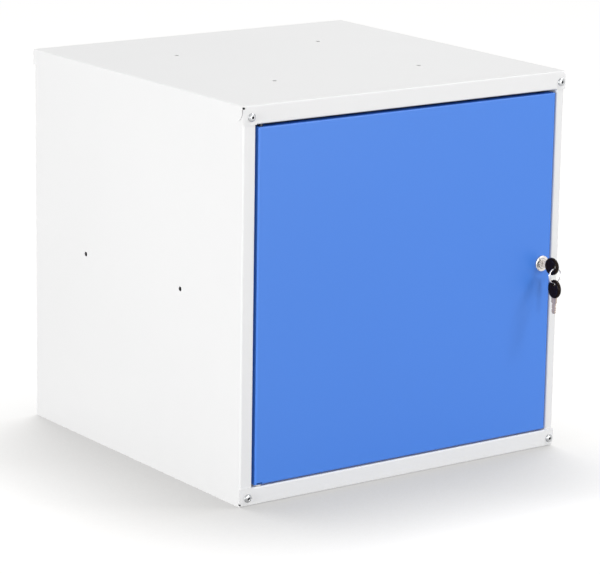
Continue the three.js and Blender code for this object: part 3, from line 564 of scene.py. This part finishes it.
def polar(radius, turn, height):
    """A point at a radius and an angle about an axis, and at a height along it."""
    return Vector((radius * math.cos(turn), radius * math.sin(turn), height))


def section(shape, height, sides, place):
    """Ring of points about an axis, at a height along it."""
    points = []
    for turn in round_turns(sides):
        radius = shape(turn) if callable(shape) else shape
        points.append(place @ polar(radius, turn, height))
    return points


def loft_into(work, rings, closed=False):
    """Adds a skin through rings of points. A closed one runs back to its first ring."""
    count = len(rings[0])
    rows = [[work.verts.new(point) for point in ring] for ring in rings]
    pairs = list(zip(rows, rows[1:]))
    if closed:
        pairs.append((rows[-1], rows[0]))
    else:
        work.faces.new(rows[0])
        work.faces.new(rows[-1])
    for low, high in pairs:
        for i in range(count):
            j = (i + 1) % count
            work.faces.new((low[i], low[j], high[j], high[i]))


def mesh_of(name, work):
    """Turns finished work into a mesh whose faces point out."""
    bmesh.ops.recalc_face_normals(work, faces=work.faces)
    mesh = bpy.data.meshes.new(name)
    work.to_mesh(mesh)
    work.free()
    return mesh


def turned_mesh(name, profile, place, sides=SMALL_SIDES, closed=False):
    """A mesh through a profile of pairs, each of a shape or radius and a height."""
    work = bmesh.new()
    loft_into(work, [section(shape, height, sides, place) for shape, height in profile], closed)
    return mesh_of(name, work)


def eased(corners, radius, closed=False):
    """A profile of plain radii whose corners are rounded."""
    points = []
    last = len(corners) - 1
    for i, corner in enumerate(corners):
        if not closed and i in (0, last):
            points.append(corner)
            continue
        here = Vector(corner)
        before = Vector(corners[i - 1]) - here
        after = Vector(corners[(i + 1) % len(corners)]) - here
        reach = min(radius, before.length * CORNER_SHARE, after.length * CORNER_SHARE)
        start = here + before.normalized() * reach
        end = here + after.normalized() * reach
        for step in range(CORNER_STEPS + 1):
            t = step / CORNER_STEPS
            points.append(tuple(start.lerp(here, t).lerp(here.lerp(end, t), t)))
    return points


def thread(shape_at, start, end, pitch):
    """Profile of a thread drawn as rings, from crest to root and back."""
    count = max(1, round((end - start) / pitch))
    step = (end - start) / count
    profile = []
    for i in range(count):
        base = start + i * step
        profile.append((shape_at(0.0), base))
        profile.append((shape_at(0.0), base + step * THREAD_CREST_END))
        profile.append((shape_at(1.0), base + step * THREAD_ROOT_START))
        profile.append((shape_at(1.0), base + step * THREAD_ROOT_END))
    return profile


def along_y(centre, y, into):
    """Place of a turned piece whose height runs along Y, to the back or to the front."""
    return Matrix(((1, 0, 0, centre.x), (0, 0, into, y), (0, 1, 0, centre.z), (0, 0, 0, 1)))


def along_z(centre, z, into):
    """Place of a turned piece whose height runs along Z, up or down."""
    return Matrix(((1, 0, 0, centre.x), (0, 1, 0, centre.y), (0, 0, into, z), (0, 0, 0, 1)))


def smooth(piece):
    """Shades bends smoothly and keeps flat faces flat."""
    piece.data.shade_smooth()
    piece.data.set_sharp_from_angle(angle=SHARP_ANGLE)
    keeper = piece.modifiers.new("flat faces stay flat", "WEIGHTED_NORMAL")
    keeper.keep_sharp = True
    keeper.weight = 100


def cut(piece, cutters):
    """Cuts other meshes out of a piece, and drops them."""
    for i, mesh in enumerate(cutters):
        tool = bpy.data.objects.new(f"{piece.name}_cutter_{i}", mesh)
        bpy.context.scene.collection.objects.link(tool)
        carve = piece.modifiers.new("cut", "BOOLEAN")
        carve.object = tool
        carve.solver = "EXACT"
        bpy.context.view_layer.update()
        carved = piece.evaluated_get(bpy.context.evaluated_depsgraph_get())
        result = bpy.data.meshes.new_from_object(carved)
        piece.modifiers.clear()
        piece.data = result
        bpy.data.objects.remove(tool)


def place_piece(node, kind, mesh, cutters=(), look=None):
    """Puts a finished mesh in a node's place, on its body and with its material."""
    piece = bpy.data.objects.new(f"{node}_{kind}", mesh)
    bpy.context.scene.collection.objects.link(piece)
    cut(piece, cutters)
    slot = NODE_SLOT[node]
    piece.data.materials.clear()
    piece.data.materials.append(finish(look or slot))
    smooth(piece)
    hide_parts(node)
    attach(piece, NODE_BODY[node])
    return piece


def give_faces(piece, look, chosen):
    """Gives another finish to the faces whose centres a test picks."""
    piece.data.materials.append(finish(look))
    for polygon in piece.data.polygons:
        if chosen(polygon.center):
            polygon.material_index = 1


def middle(node):
    """Lowest corner, highest corner and centre of a node."""
    low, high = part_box(node)
    return low, high, (low + high) / 2


# Pieces

def button_screw(node, into, hardware):
    """Button-head screw with a hexagon socket, a domed head and a threaded shank."""
    low, high, centre = middle(node)
    face, tip = (low.y, high.y) if into > 0 else (high.y, low.y)
    head_radius = (high.x - low.x) / 2
    length_in = abs(tip - face)
    dome = hardware.head_height - hardware.head_rim
    rim_edge = hardware.edge / 2
    mouth = hexagon_corner(hardware.socket_width) + rim_edge
    start = math.asin(mouth / head_radius)
    mouth_height = dome * (1 - math.cos(start))
    profile = [
        (hexagon_shape(hardware.socket_width), mouth_height + hardware.socket_depth),
        (hexagon_shape(hardware.socket_width), mouth_height + rim_edge),
        (mouth, mouth_height),
    ]
    for turn in steps_between(start, QUARTER_TURN, DOME_STEPS)[1:]:
        profile.append((head_radius * math.sin(turn), dome * (1 - math.cos(turn))))
    profile.append((head_radius, hardware.head_height - rim_edge))
    profile.append((head_radius - rim_edge, hardware.head_height))
    profile.append((hardware.shank_radius, hardware.head_height))
    profile += thread(
        lambda deep: hardware.shank_radius - hardware.thread_depth * deep,
        hardware.head_height + hardware.edge, length_in - hardware.thread_pitch,
        hardware.thread_pitch)
    profile.append((hardware.shank_radius - hardware.thread_depth, length_in))
    return turned_mesh(f"{node}_form", profile, along_y(centre, face, into))


def in_socket(node, into, hardware):
    """Test for a place on the walls or the floor of a screw's socket, where shade is painted."""
    low, high, centre = middle(node)
    face = low.y if into > 0 else high.y
    reach = hardware.socket_width / 2 + hardware.edge / 2

    def test(place):
        aside = math.hypot(place.x - centre.x, place.z - centre.z)
        deep = (place.y - face) * into
        return aside < reach and hardware.edge < deep < hardware.head_height

    return test


def hexagon_nut(node, flat_width, bore, chamfer):
    """Hexagon nut whose corners are chamfered at both ends."""
    low, high, centre = middle(node)
    height = high.y - low.y
    bevel = chamfer / math.tan(NUT_SLOPE)
    face_radius = flat_width / 2 * NUT_FACE_SHARE
    profile = [(bore, chamfer / 2), (bore + chamfer / 2, 0.0)]
    for limit in steps_between(face_radius, hexagon_corner(flat_width), CHAMFER_STEPS):
        rise = (limit - face_radius) * chamfer / bevel
        profile.append((hexagon_shape(flat_width, limit), rise))
    mirrored = [(shape, height - at) for shape, at in reversed(profile)]
    return turned_mesh(
        f"{node}_form", profile + mirrored, along_y(centre, low.y, 1), TURNED_SIDES, closed=True)


def blind_rivet(node, hardware):
    """Blind rivet with a low domed head, the broken stem in it, and a bulbed tail."""
    low, high, centre = middle(node)
    head_radius = (high.x - low.x) / 2
    total = high.y - low.y
    head = hardware.rivet_head
    stem = hardware.mandrel_radius
    body = hardware.rivet_radius
    bulb = body + BULB_STAND
    grip = total - TAIL_LENGTH
    broken_stem = [
        (stem * 0.8, head * 0.7),
        (stem, head * 0.6),
        (stem + 0.05 * MM, head * 0.12),
        (stem + 0.25 * MM, 0.0),
    ]
    dome = [(head_radius * across, head * along) for across, along in RIVET_DOME]
    tail = [
        (bulb * 0.92, grip + 0.3 * MM),
        (bulb, grip + 0.9 * MM),
        (bulb, total - 1.1 * MM),
        (bulb * 0.9, total - 0.5 * MM),
        (body * 0.9, total - 0.15 * MM),
        (body * 0.6, total),
    ]
    profile = broken_stem + dome + [(body, head), (body, grip)] + tail
    return turned_mesh(f"{node}_form", profile, along_y(centre, high.y, -1))


def hinge_pin(node, into, hardware):
    """Headed hinge pin with a chamfered tip."""
    low, high, centre = middle(node)
    total = high.z - low.z
    base = low.z if into > 0 else high.z
    head_radius = (high.x - low.x) / 2
    corners = [
        (head_radius * PIN_HEAD_START, 0.0),
        (head_radius, 0.0),
        (head_radius, hardware.pin_head),
        (hardware.pin_radius, hardware.pin_head),
        (hardware.pin_radius, total - 2 * hardware.edge),
        (hardware.pin_radius - 2 * hardware.edge, total),
        (hardware.pin_radius * PIN_TIP_END, total),
    ]
    return turned_mesh(
        f"{node}_form", eased(corners, hardware.edge), along_z(centre, base, into))


def hinge_bush(node, hardware):
    """Plain bush with rounded edges."""
    low, high, centre = middle(node)
    radius = (high.x - low.x) / 2
    height = high.z - low.z
    corners = [
        (hardware.bush_bore, 0.0),
        (radius, 0.0),
        (radius, height),
        (hardware.bush_bore, height),
    ]
    return turned_mesh(
        f"{node}_form", eased(corners, hardware.edge, closed=True), along_z(centre, low.z, 1),
        closed=True)


def lock_housing(node, lock):
    """Round head with a crowned rim, a threaded barrel with two flats, and a stop rim."""
    low, high, centre = middle(node)
    place = along_y(centre, low.y, 1)
    head_radius = (high.x - low.x) / 2

    def barrel(deep):
        return flatted_shape(lock.barrel_radius - BARREL_THREAD_DEPTH * deep, lock.barrel_flats)

    across, along = BORE_CHAMFER
    profile = [(lock.bore_radius, along), (lock.bore_radius + across, 0.0)]
    for turn in steps_between(0.0, QUARTER_TURN, CROWN_STEPS):
        profile.append((
            head_radius - lock.head_crown * (1 - math.sin(turn)),
            lock.head_crown * CROWN_FLATNESS * (1 - math.cos(turn))))
    profile.append((head_radius, lock.head_height - HEAD_BACK_EDGE))
    profile.append((head_radius - HEAD_BACK_EDGE, lock.head_height))
    profile += thread(
        barrel, lock.head_height, lock.barrel_length - BARREL_RUNOUT, lock.barrel_pitch)
    profile.append((barrel(1.0), lock.barrel_length))
    profile.append((lock.bore_radius, lock.barrel_length))
    work = bmesh.new()
    loft_into(work, [section(s, h, TURNED_SIDES, place) for s, h in profile], closed=True)
    near = lock.barrel_length - RIM_OVERLAP
    far = high.y - low.y
    margin = math.asin(lock.tab_width / 2 / lock.rim_bore)
    outer = barrel(0.0)
    rings = []
    for turn in steps_between(math.pi + margin, FULL_TURN + QUARTER_TURN - margin, RIM_STEPS):
        corners = (
            (lock.rim_bore, near), (outer(turn), near), (outer(turn), far), (lock.rim_bore, far))
        rings.append([place @ polar(radius, turn, height) for radius, height in corners])
    loft_into(work, rings)
    return mesh_of(f"{node}_form", work)


def lock_plug(node, lock):
    """Plug with its keyway, the square that drives the cam, and a threaded stub."""
    low, high, centre = middle(node)
    place = along_y(centre, low.y, 1)
    total = high.y - low.y
    keyway = rectangle_shape(lock.keyway_width, lock.keyway_height)
    wider, flare_end = MOUTH_FLARE
    mouth = rectangle_shape(lock.keyway_width + wider, lock.keyway_height + wider)
    square = rectangle_shape(lock.square_width, lock.square_width)
    square_end = lock.plug_length + lock.square_length
    profile = [
        (keyway, lock.keyway_depth),
        (keyway, flare_end),
        (mouth, 0.0),
        *((lock.plug_radius - inset, along) for inset, along in PLUG_RIM),
        (lock.plug_radius, lock.plug_length),
        (square, lock.plug_length),
        (square, square_end),
    ]
    profile += thread(
        lambda deep: lock.stub_radius - STUB_THREAD_DEPTH * deep,
        square_end, total - STUB_RUNOUT, STUB_THREAD_PITCH)
    profile.append((lock.stub_radius - STUB_END, total))
    return turned_mesh(f"{node}_form", profile, place, TURNED_SIDES)


def key_place(node, away):
    """Axes of a key: away from the blade, across it, and through its thickness."""
    low, high, centre = middle(node)
    across = Vector((1, 0, 0)).cross(away)
    place = Matrix.Identity(4)
    for column, axis in enumerate((away, across, Vector((1, 0, 0)))):
        for row in range(3):
            place[row][column] = axis[row]
    place.translation = centre
    size = high - low
    reach = abs(size.dot(away)) / 2
    width = abs(size.dot(across)) / 2
    return place, reach, width, size.x / 2


def both_ends(upper):
    """The upper half of a profile after its mirror image."""
    return [(across, -along) for across, along in reversed(upper)] + upper


def key_head(node, away, lock):
    """Oval moulded head with a full rim, a shallow dish on each face, and its ring hole."""
    place, reach, width, half = key_place(node, away)
    upper = []
    for turn in steps_between(0.0, QUARTER_TURN, HEAD_ROUND_STEPS):
        inset = lock.head_round * (1 - math.cos(turn))
        upper.append((inset, half - lock.head_round * (1 - math.sin(turn))))
    for inset, sunk in DISH_SLOPE:
        upper.append((lock.dish_inset + inset, half - lock.dish_depth * sunk))
    upper.append((width * DISH_END_SHARE, half - lock.dish_depth))
    rings = []
    for inset, height in both_ends(upper):
        rings.append([
            place @ Vector((
                (reach - inset) * math.cos(turn), (width - inset) * math.sin(turn), height))
            for turn in round_turns(TURNED_SIDES)])
    work = bmesh.new()
    loft_into(work, rings)
    hole = place @ Matrix.Translation((reach - lock.hole_inset, 0, 0))
    flare = [(lock.hole_radius + wider, half - deep) for wider, deep in RING_HOLE_FLARE]
    return (
        mesh_of(f"{node}_form", work),
        turned_mesh(f"{node}_hole", both_ends(flare), hole))


def key_groove(node, away, side, lock):
    """Cutter for the groove milled along one face of a blade."""
    place, reach, _, half = key_place(node, away)
    middle_line = side * GROOVE_OFFSET
    mouth = lock.groove_width / 2
    floor = mouth * GROOVE_FLOOR_SHARE
    above = half + MM
    below = half - lock.groove_depth
    rings = []
    for end in (-reach - MM, reach - GROOVE_STOP):
        rings.append([
            place @ Vector((end, middle_line + across, side * through))
            for across, through in (
                (-mouth, above), (-floor, below), (floor, below), (mouth, above))])
    work = bmesh.new()
    loft_into(work, rings)
    return mesh_of(f"{node}_groove", work)


def wound_ring(node, lock):
    """Split ring wound twice from round wire, with the arc where it changes turns at one side."""
    low, high, centre = middle(node)
    radius = (high.x - low.x) / 2 - lock.wire_radius
    half_cross = lock.ring_cross / 2
    rings = []
    for turn in steps_between(half_cross, 2 * FULL_TURN - half_cross, WOUND_STEPS):
        blend = (turn - (FULL_TURN - half_cross)) / lock.ring_cross
        blend = min(1.0, max(0.0, blend))
        offset = (blend * blend * (3 - 2 * blend) - 0.5) * lock.ring_turn
        outward = Vector((math.cos(turn), 0, math.sin(turn)))
        hub = centre + outward * radius + Vector((0, offset, 0))
        rings.append([
            hub + lock.wire_radius * (
                outward * math.cos(round_wire) + Vector((0, math.sin(round_wire), 0)))
            for round_wire in round_turns(WIRE_SIDES)])
    work = bmesh.new()
    loft_into(work, rings)
    return mesh_of(f"{node}_form", work)


# Stage

def seen_ray(tree, strength):
    """A strength on rays that come from the camera, a reflection or a clear body, and none else."""
    path = tree.nodes.new("ShaderNodeLightPath")
    total = path.outputs["Is Camera Ray"]
    for name in ("Is Glossy Ray", "Is Transmission Ray"):
        total = add_node(tree, "ShaderNodeMath", {"operation": "MAXIMUM"}, {
            0: total, 1: path.outputs[name]}).outputs[0]
    return add_node(tree, "ShaderNodeMath", {"operation": "MULTIPLY"}, {
        0: total, 1: strength}).outputs[0]


def floor_material(stage):
    """Pale floor that keeps the shadow, and is white round it where it is seen."""
    made = bpy.data.materials.new("pale floor")
    made.use_nodes = True
    tree = made.node_tree
    tree.nodes.clear()
    tone = add_node(tree, "ShaderNodeMix", {"data_type": "RGBA"}, {
        MIX_SHARE: seen_ray(tree, 1.0),
        MIX_FIRST: (*stage.floor_colour, 1.0),
        MIX_SECOND: (*stage.seen_colour, 1.0)})
    surface = add_node(tree, "ShaderNodeBsdfDiffuse", inputs={"Color": tone.outputs[MIX_RESULT]})
    way = add_node(tree, "ShaderNodeVectorMath", {"operation": "NORMALIZE"}, {0: stage.soft_way})
    contact = add_node(tree, "ShaderNodeAmbientOcclusion", inputs={
        "Distance": stage.contact_reach, "Normal": way.outputs[0]})
    bright = add_node(tree, "ShaderNodeMapRange", inputs={
        "Value": contact.outputs["AO"], "From Min": stage.closed_share, "To Min": stage.darkest})
    level = add_node(tree, "ShaderNodeMath", {"operation": "MULTIPLY"}, {
        0: bright.outputs[0], 1: stage.floor_lift})
    lift = add_node(tree, "ShaderNodeEmission", inputs={
        "Strength": seen_ray(tree, level.outputs[0])})
    both = add_node(tree, "ShaderNodeAddShader", inputs={0: surface.outputs[0], 1: lift.outputs[0]})
    add_node(tree, "ShaderNodeOutputMaterial", inputs={"Surface": both.outputs[0]})
    return made


def build_world(stage):
    """Even light from all round, which is white where it is seen."""
    world = bpy.data.worlds.new("studio")
    bpy.context.scene.world = world
    world.use_nodes = True
    tree = world.node_tree
    back = tree.nodes["Background"]
    back.inputs["Color"].default_value = (1.0, 1.0, 1.0, 1.0)
    level = add_node(tree, "ShaderNodeMath", {"operation": "ADD"}, {
        0: seen_ray(tree, 1.0 - stage.sky_level), 1: stage.sky_level})
    feed(tree, back.inputs["Strength"], level.outputs[0])


def build_floor(stage):
    """Large plain floor under the locker."""
    half = stage.floor_size / 2
    work = bmesh.new()
    corners = ((-half, -half), (half, -half), (half, half), (-half, half))
    work.faces.new([work.verts.new((x, y, CAD_BOX[0].z)) for x, y in corners])
    floor = bpy.data.objects.new("floor", mesh_of("floor", work))
    floor.data.materials.append(floor_material(stage))
    bpy.context.scene.collection.objects.link(floor)


def build_lamp(name, place, side, watts):
    """Square soft lamp that faces the middle of the locker."""
    target = (CAD_BOX[0] + CAD_BOX[1]) / 2
    data = bpy.data.lights.new(name, "AREA")
    data.shape = "SQUARE"
    data.size = side
    data.energy = watts
    lamp = bpy.data.objects.new(name, data)
    lamp.location = place
    lamp.rotation_mode = "QUATERNION"
    lamp.rotation_quaternion = (target - place).to_track_quat("-Z", "Y")
    bpy.context.scene.collection.objects.link(lamp)


def build_camera(stage):
    """Camera at the viewing angle of the picture."""
    data = bpy.data.cameras.new("camera")
    data.lens = stage.lens
    data.clip_start = 0.1
    data.clip_end = 2 * stage.floor_size
    camera = bpy.data.objects.new("camera", data)
    level = math.cos(stage.elevation)
    forward = Vector((
        -math.sin(stage.azimuth) * level,
        math.cos(stage.azimuth) * level,
        -math.sin(stage.elevation)))
    camera.location = stage.camera_place
    camera.rotation_mode = "QUATERNION"
    camera.rotation_quaternion = (
        forward.to_track_quat("-Z", "Y") @ Quaternion((0, 0, 1), stage.roll))
    bpy.context.scene.collection.objects.link(camera)
    bpy.context.scene.camera = camera


# Operators

def place_sheets(nodes, context):
    """Gives folded sheets their rounded cut edges."""
    edge = context.scene.locker_paint.sheet_edge
    for node in nodes:
        place_piece(node, "sheet", rounded_mesh(node, edge))


class LOCKER_OT_stage(bpy.types.Operator):
    """Build the camera, the floor and the lights"""

    bl_idname = "locker.stage"
    bl_label = "Stage"

    def execute(self, context):
        stage = context.scene.locker_stage
        build_camera(stage)
        build_floor(stage)
        build_world(stage)
        for lamp, (place, side) in LAMPS.items():
            build_lamp(f"{lamp}_lamp", Vector(place), side, getattr(stage, f"{lamp}_power"))
        context.scene.view_settings.view_transform = "Standard"
        return {"FINISHED"}


class LOCKER_OT_cabinet_sheets(bpy.types.Operator):
    """Build the folded sheets of the cabinet"""

    bl_idname = "locker.cabinet_sheets"
    bl_label = "Cabinet sheets"

    def execute(self, context):
        place_sheets(SHEET_NODES, context)
        return {"FINISHED"}


class LOCKER_OT_door_sheets(bpy.types.Operator):
    """Build the skin and the stiffener of the door"""

    bl_idname = "locker.door_sheets"
    bl_label = "Door sheets"

    def execute(self, context):
        place_sheets(DOOR_NODES, context)
        return {"FINISHED"}


class LOCKER_OT_corner_fasteners(bpy.types.Operator):
    """Build the corner screws and their nuts"""

    bl_idname = "locker.corner_fasteners"
    bl_label = "Corner fasteners"

    def execute(self, context):
        hardware = context.scene.locker_hardware
        bore = hardware.shank_radius + THREAD_ROOM
        for end, into in (("front", 1), ("rear", -1)):
            for level in ("top", "bottom"):
                for side in ("left", "right"):
                    corner = f"{end}_{level}_{side}"
                    screw = f"screw_{corner}"
                    nut = f"nut_{corner}"
                    made = place_piece(screw, "turned", button_screw(screw, into, hardware))
                    # The socket's walls and floor take the dark finish, as painted shade in the recess.
                    give_faces(made, "dark_steel", in_socket(screw, into, hardware))
                    low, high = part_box(nut)
                    form = hexagon_nut(nut, high.x - low.x, bore, hardware.nut_chamfer)
                    place_piece(nut, "milled", form)
        return {"FINISHED"}


class LOCKER_OT_back_rivets(bpy.types.Operator):
    """Build the rivets of the back panel"""

    bl_idname = "locker.back_rivets"
    bl_label = "Back rivets"

    def execute(self, context):
        for node in sorted(n for n in frame["nodes"] if n.startswith("back_rivet_")):
            place_piece(node, "set", blind_rivet(node, context.scene.locker_hardware))
        return {"FINISHED"}


class LOCKER_OT_hinges(bpy.types.Operator):
    """Build the hinge pins and the bush that the door stands on"""

    bl_idname = "locker.hinges"
    bl_label = "Hinges"

    def execute(self, context):
        hardware = context.scene.locker_hardware
        # Both pins take the dark finish: their own dark steel, and painted shade that keeps the upper
        # pin dark in its gap.
        for pin, into in (("lower_hinge_pin", 1), ("upper_hinge_pin", -1)):
            place_piece(pin, "turned", hinge_pin(pin, into, hardware), look="dark_steel")
        bush = "lower_hinge_bush"
        place_piece(bush, "turned", hinge_bush(bush, hardware))
        return {"FINISHED"}


class LOCKER_OT_lock(bpy.types.Operator):
    """Build the cam lock"""

    bl_idname = "locker.lock"
    bl_label = "Lock"

    def execute(self, context):
        lock = context.scene.locker_lock
        place_piece("lock_housing", "cast", lock_housing("lock_housing", lock))
        plug = place_piece("lock_plug", "turned", lock_plug("lock_plug", lock))
        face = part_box("lock_plug")[0].y
        give_faces(plug, "nickel_plate", lambda place: place.y < face + PLUG_FACE_DEPTH)
        nuts = {
            "lock_nut": (lock.barrel_radius + THREAD_ROOM, lock.nut_chamfer),
            "cam_nut": (lock.stub_radius + THREAD_ROOM, lock.nut_chamfer / 2),
        }
        for node, (bore, chamfer) in nuts.items():
            low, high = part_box(node)
            place_piece(node, "milled", hexagon_nut(node, high.x - low.x, bore, chamfer))
        for node in PLATE_NODES:
            place_piece(node, "stamped", rounded_mesh(node, context.scene.locker_metal.plate_edge))
        return {"FINISHED"}


class LOCKER_OT_keys(bpy.types.Operator):
    """Build the two keys"""

    bl_idname = "locker.keys"
    bl_label = "Keys"

    def execute(self, context):
        lock = context.scene.locker_lock
        edge = context.scene.locker_metal.plate_edge
        # The spare key's blade takes the darker shaded plate, which is painted shade for its darker
        # reflection.
        for key, away, look in (
                ("key", Vector((0, -1, 0)), None),
                ("spare_key", Vector((0, 0, 1)), "worn_plate")):
            blade = f"{key}_blade"
            head = f"{key}_head"
            grooves = [key_groove(blade, away, side, lock) for side in (-1, 1)]
            form = rounded_mesh(blade, edge)
            place_piece(blade, "milled", form, grooves, look=look)
            form, hole = key_head(head, away, lock)
            place_piece(head, "moulding", form, [hole])
        return {"FINISHED"}


class LOCKER_OT_key_ring(bpy.types.Operator):
    """Build the split ring that joins the keys"""

    bl_idname = "locker.key_ring"
    bl_label = "Key ring"

    def execute(self, context):
        place_piece("key_ring", "wound", wound_ring("key_ring", context.scene.locker_lock))
        return {"FINISHED"}


class LOCKER_PT_pieces(bpy.types.Panel):
    """Lists the pieces of the locker with their sizes and colours"""

    bl_idname = "LOCKER_PT_pieces"
    bl_label = "Cube locker"
    bl_space_type = "VIEW_3D"
    bl_region_type = "UI"
    bl_category = "Locker"

    def draw(self, context):
        for operator in OPERATORS:
            self.layout.operator(operator.bl_idname)
        for attribute, group in SETTINGS.items():
            box = self.layout.box()
            box.label(text=group.__doc__)
            for name in group.__annotations__:
                box.prop(getattr(context.scene, attribute), name)


SETTINGS = {
    "locker_paint": LockerPaint,
    "locker_metal": LockerMetal,
    "locker_hardware": LockerHardware,
    "locker_lock": LockerLock,
    "locker_stage": LockerStage,
}
OPERATORS = (
    LOCKER_OT_stage,
    LOCKER_OT_cabinet_sheets,
    LOCKER_OT_door_sheets,
    LOCKER_OT_corner_fasteners,
    LOCKER_OT_back_rivets,
    LOCKER_OT_hinges,
    LOCKER_OT_lock,
    LOCKER_OT_keys,
    LOCKER_OT_key_ring,
)


def register():
    """Registers the settings, the operators and the panel."""
    for attribute, group in SETTINGS.items():
        bpy.utils.register_class(group)
        setattr(bpy.types.Scene, attribute, bpy.props.PointerProperty(type=group))
    for operator in OPERATORS:
        bpy.utils.register_class(operator)
    bpy.utils.register_class(LOCKER_PT_pieces)


def unregister():
    """Takes back what register did."""
    bpy.utils.unregister_class(LOCKER_PT_pieces)
    for operator in reversed(OPERATORS):
        bpy.utils.unregister_class(operator)
    for attribute, group in reversed(list(SETTINGS.items())):
        delattr(bpy.types.Scene, attribute)
        bpy.utils.unregister_class(group)


def main():
    """Builds everything."""
    register()
    bpy.ops.locker.stage()
    bpy.ops.locker.cabinet_sheets()
    bpy.ops.locker.door_sheets()
    bpy.ops.locker.corner_fasteners()
    bpy.ops.locker.back_rivets()
    bpy.ops.locker.hinges()
    bpy.ops.locker.lock()
    bpy.ops.locker.keys()
    bpy.ops.locker.key_ring()


if __name__ == "__main__":
    main()
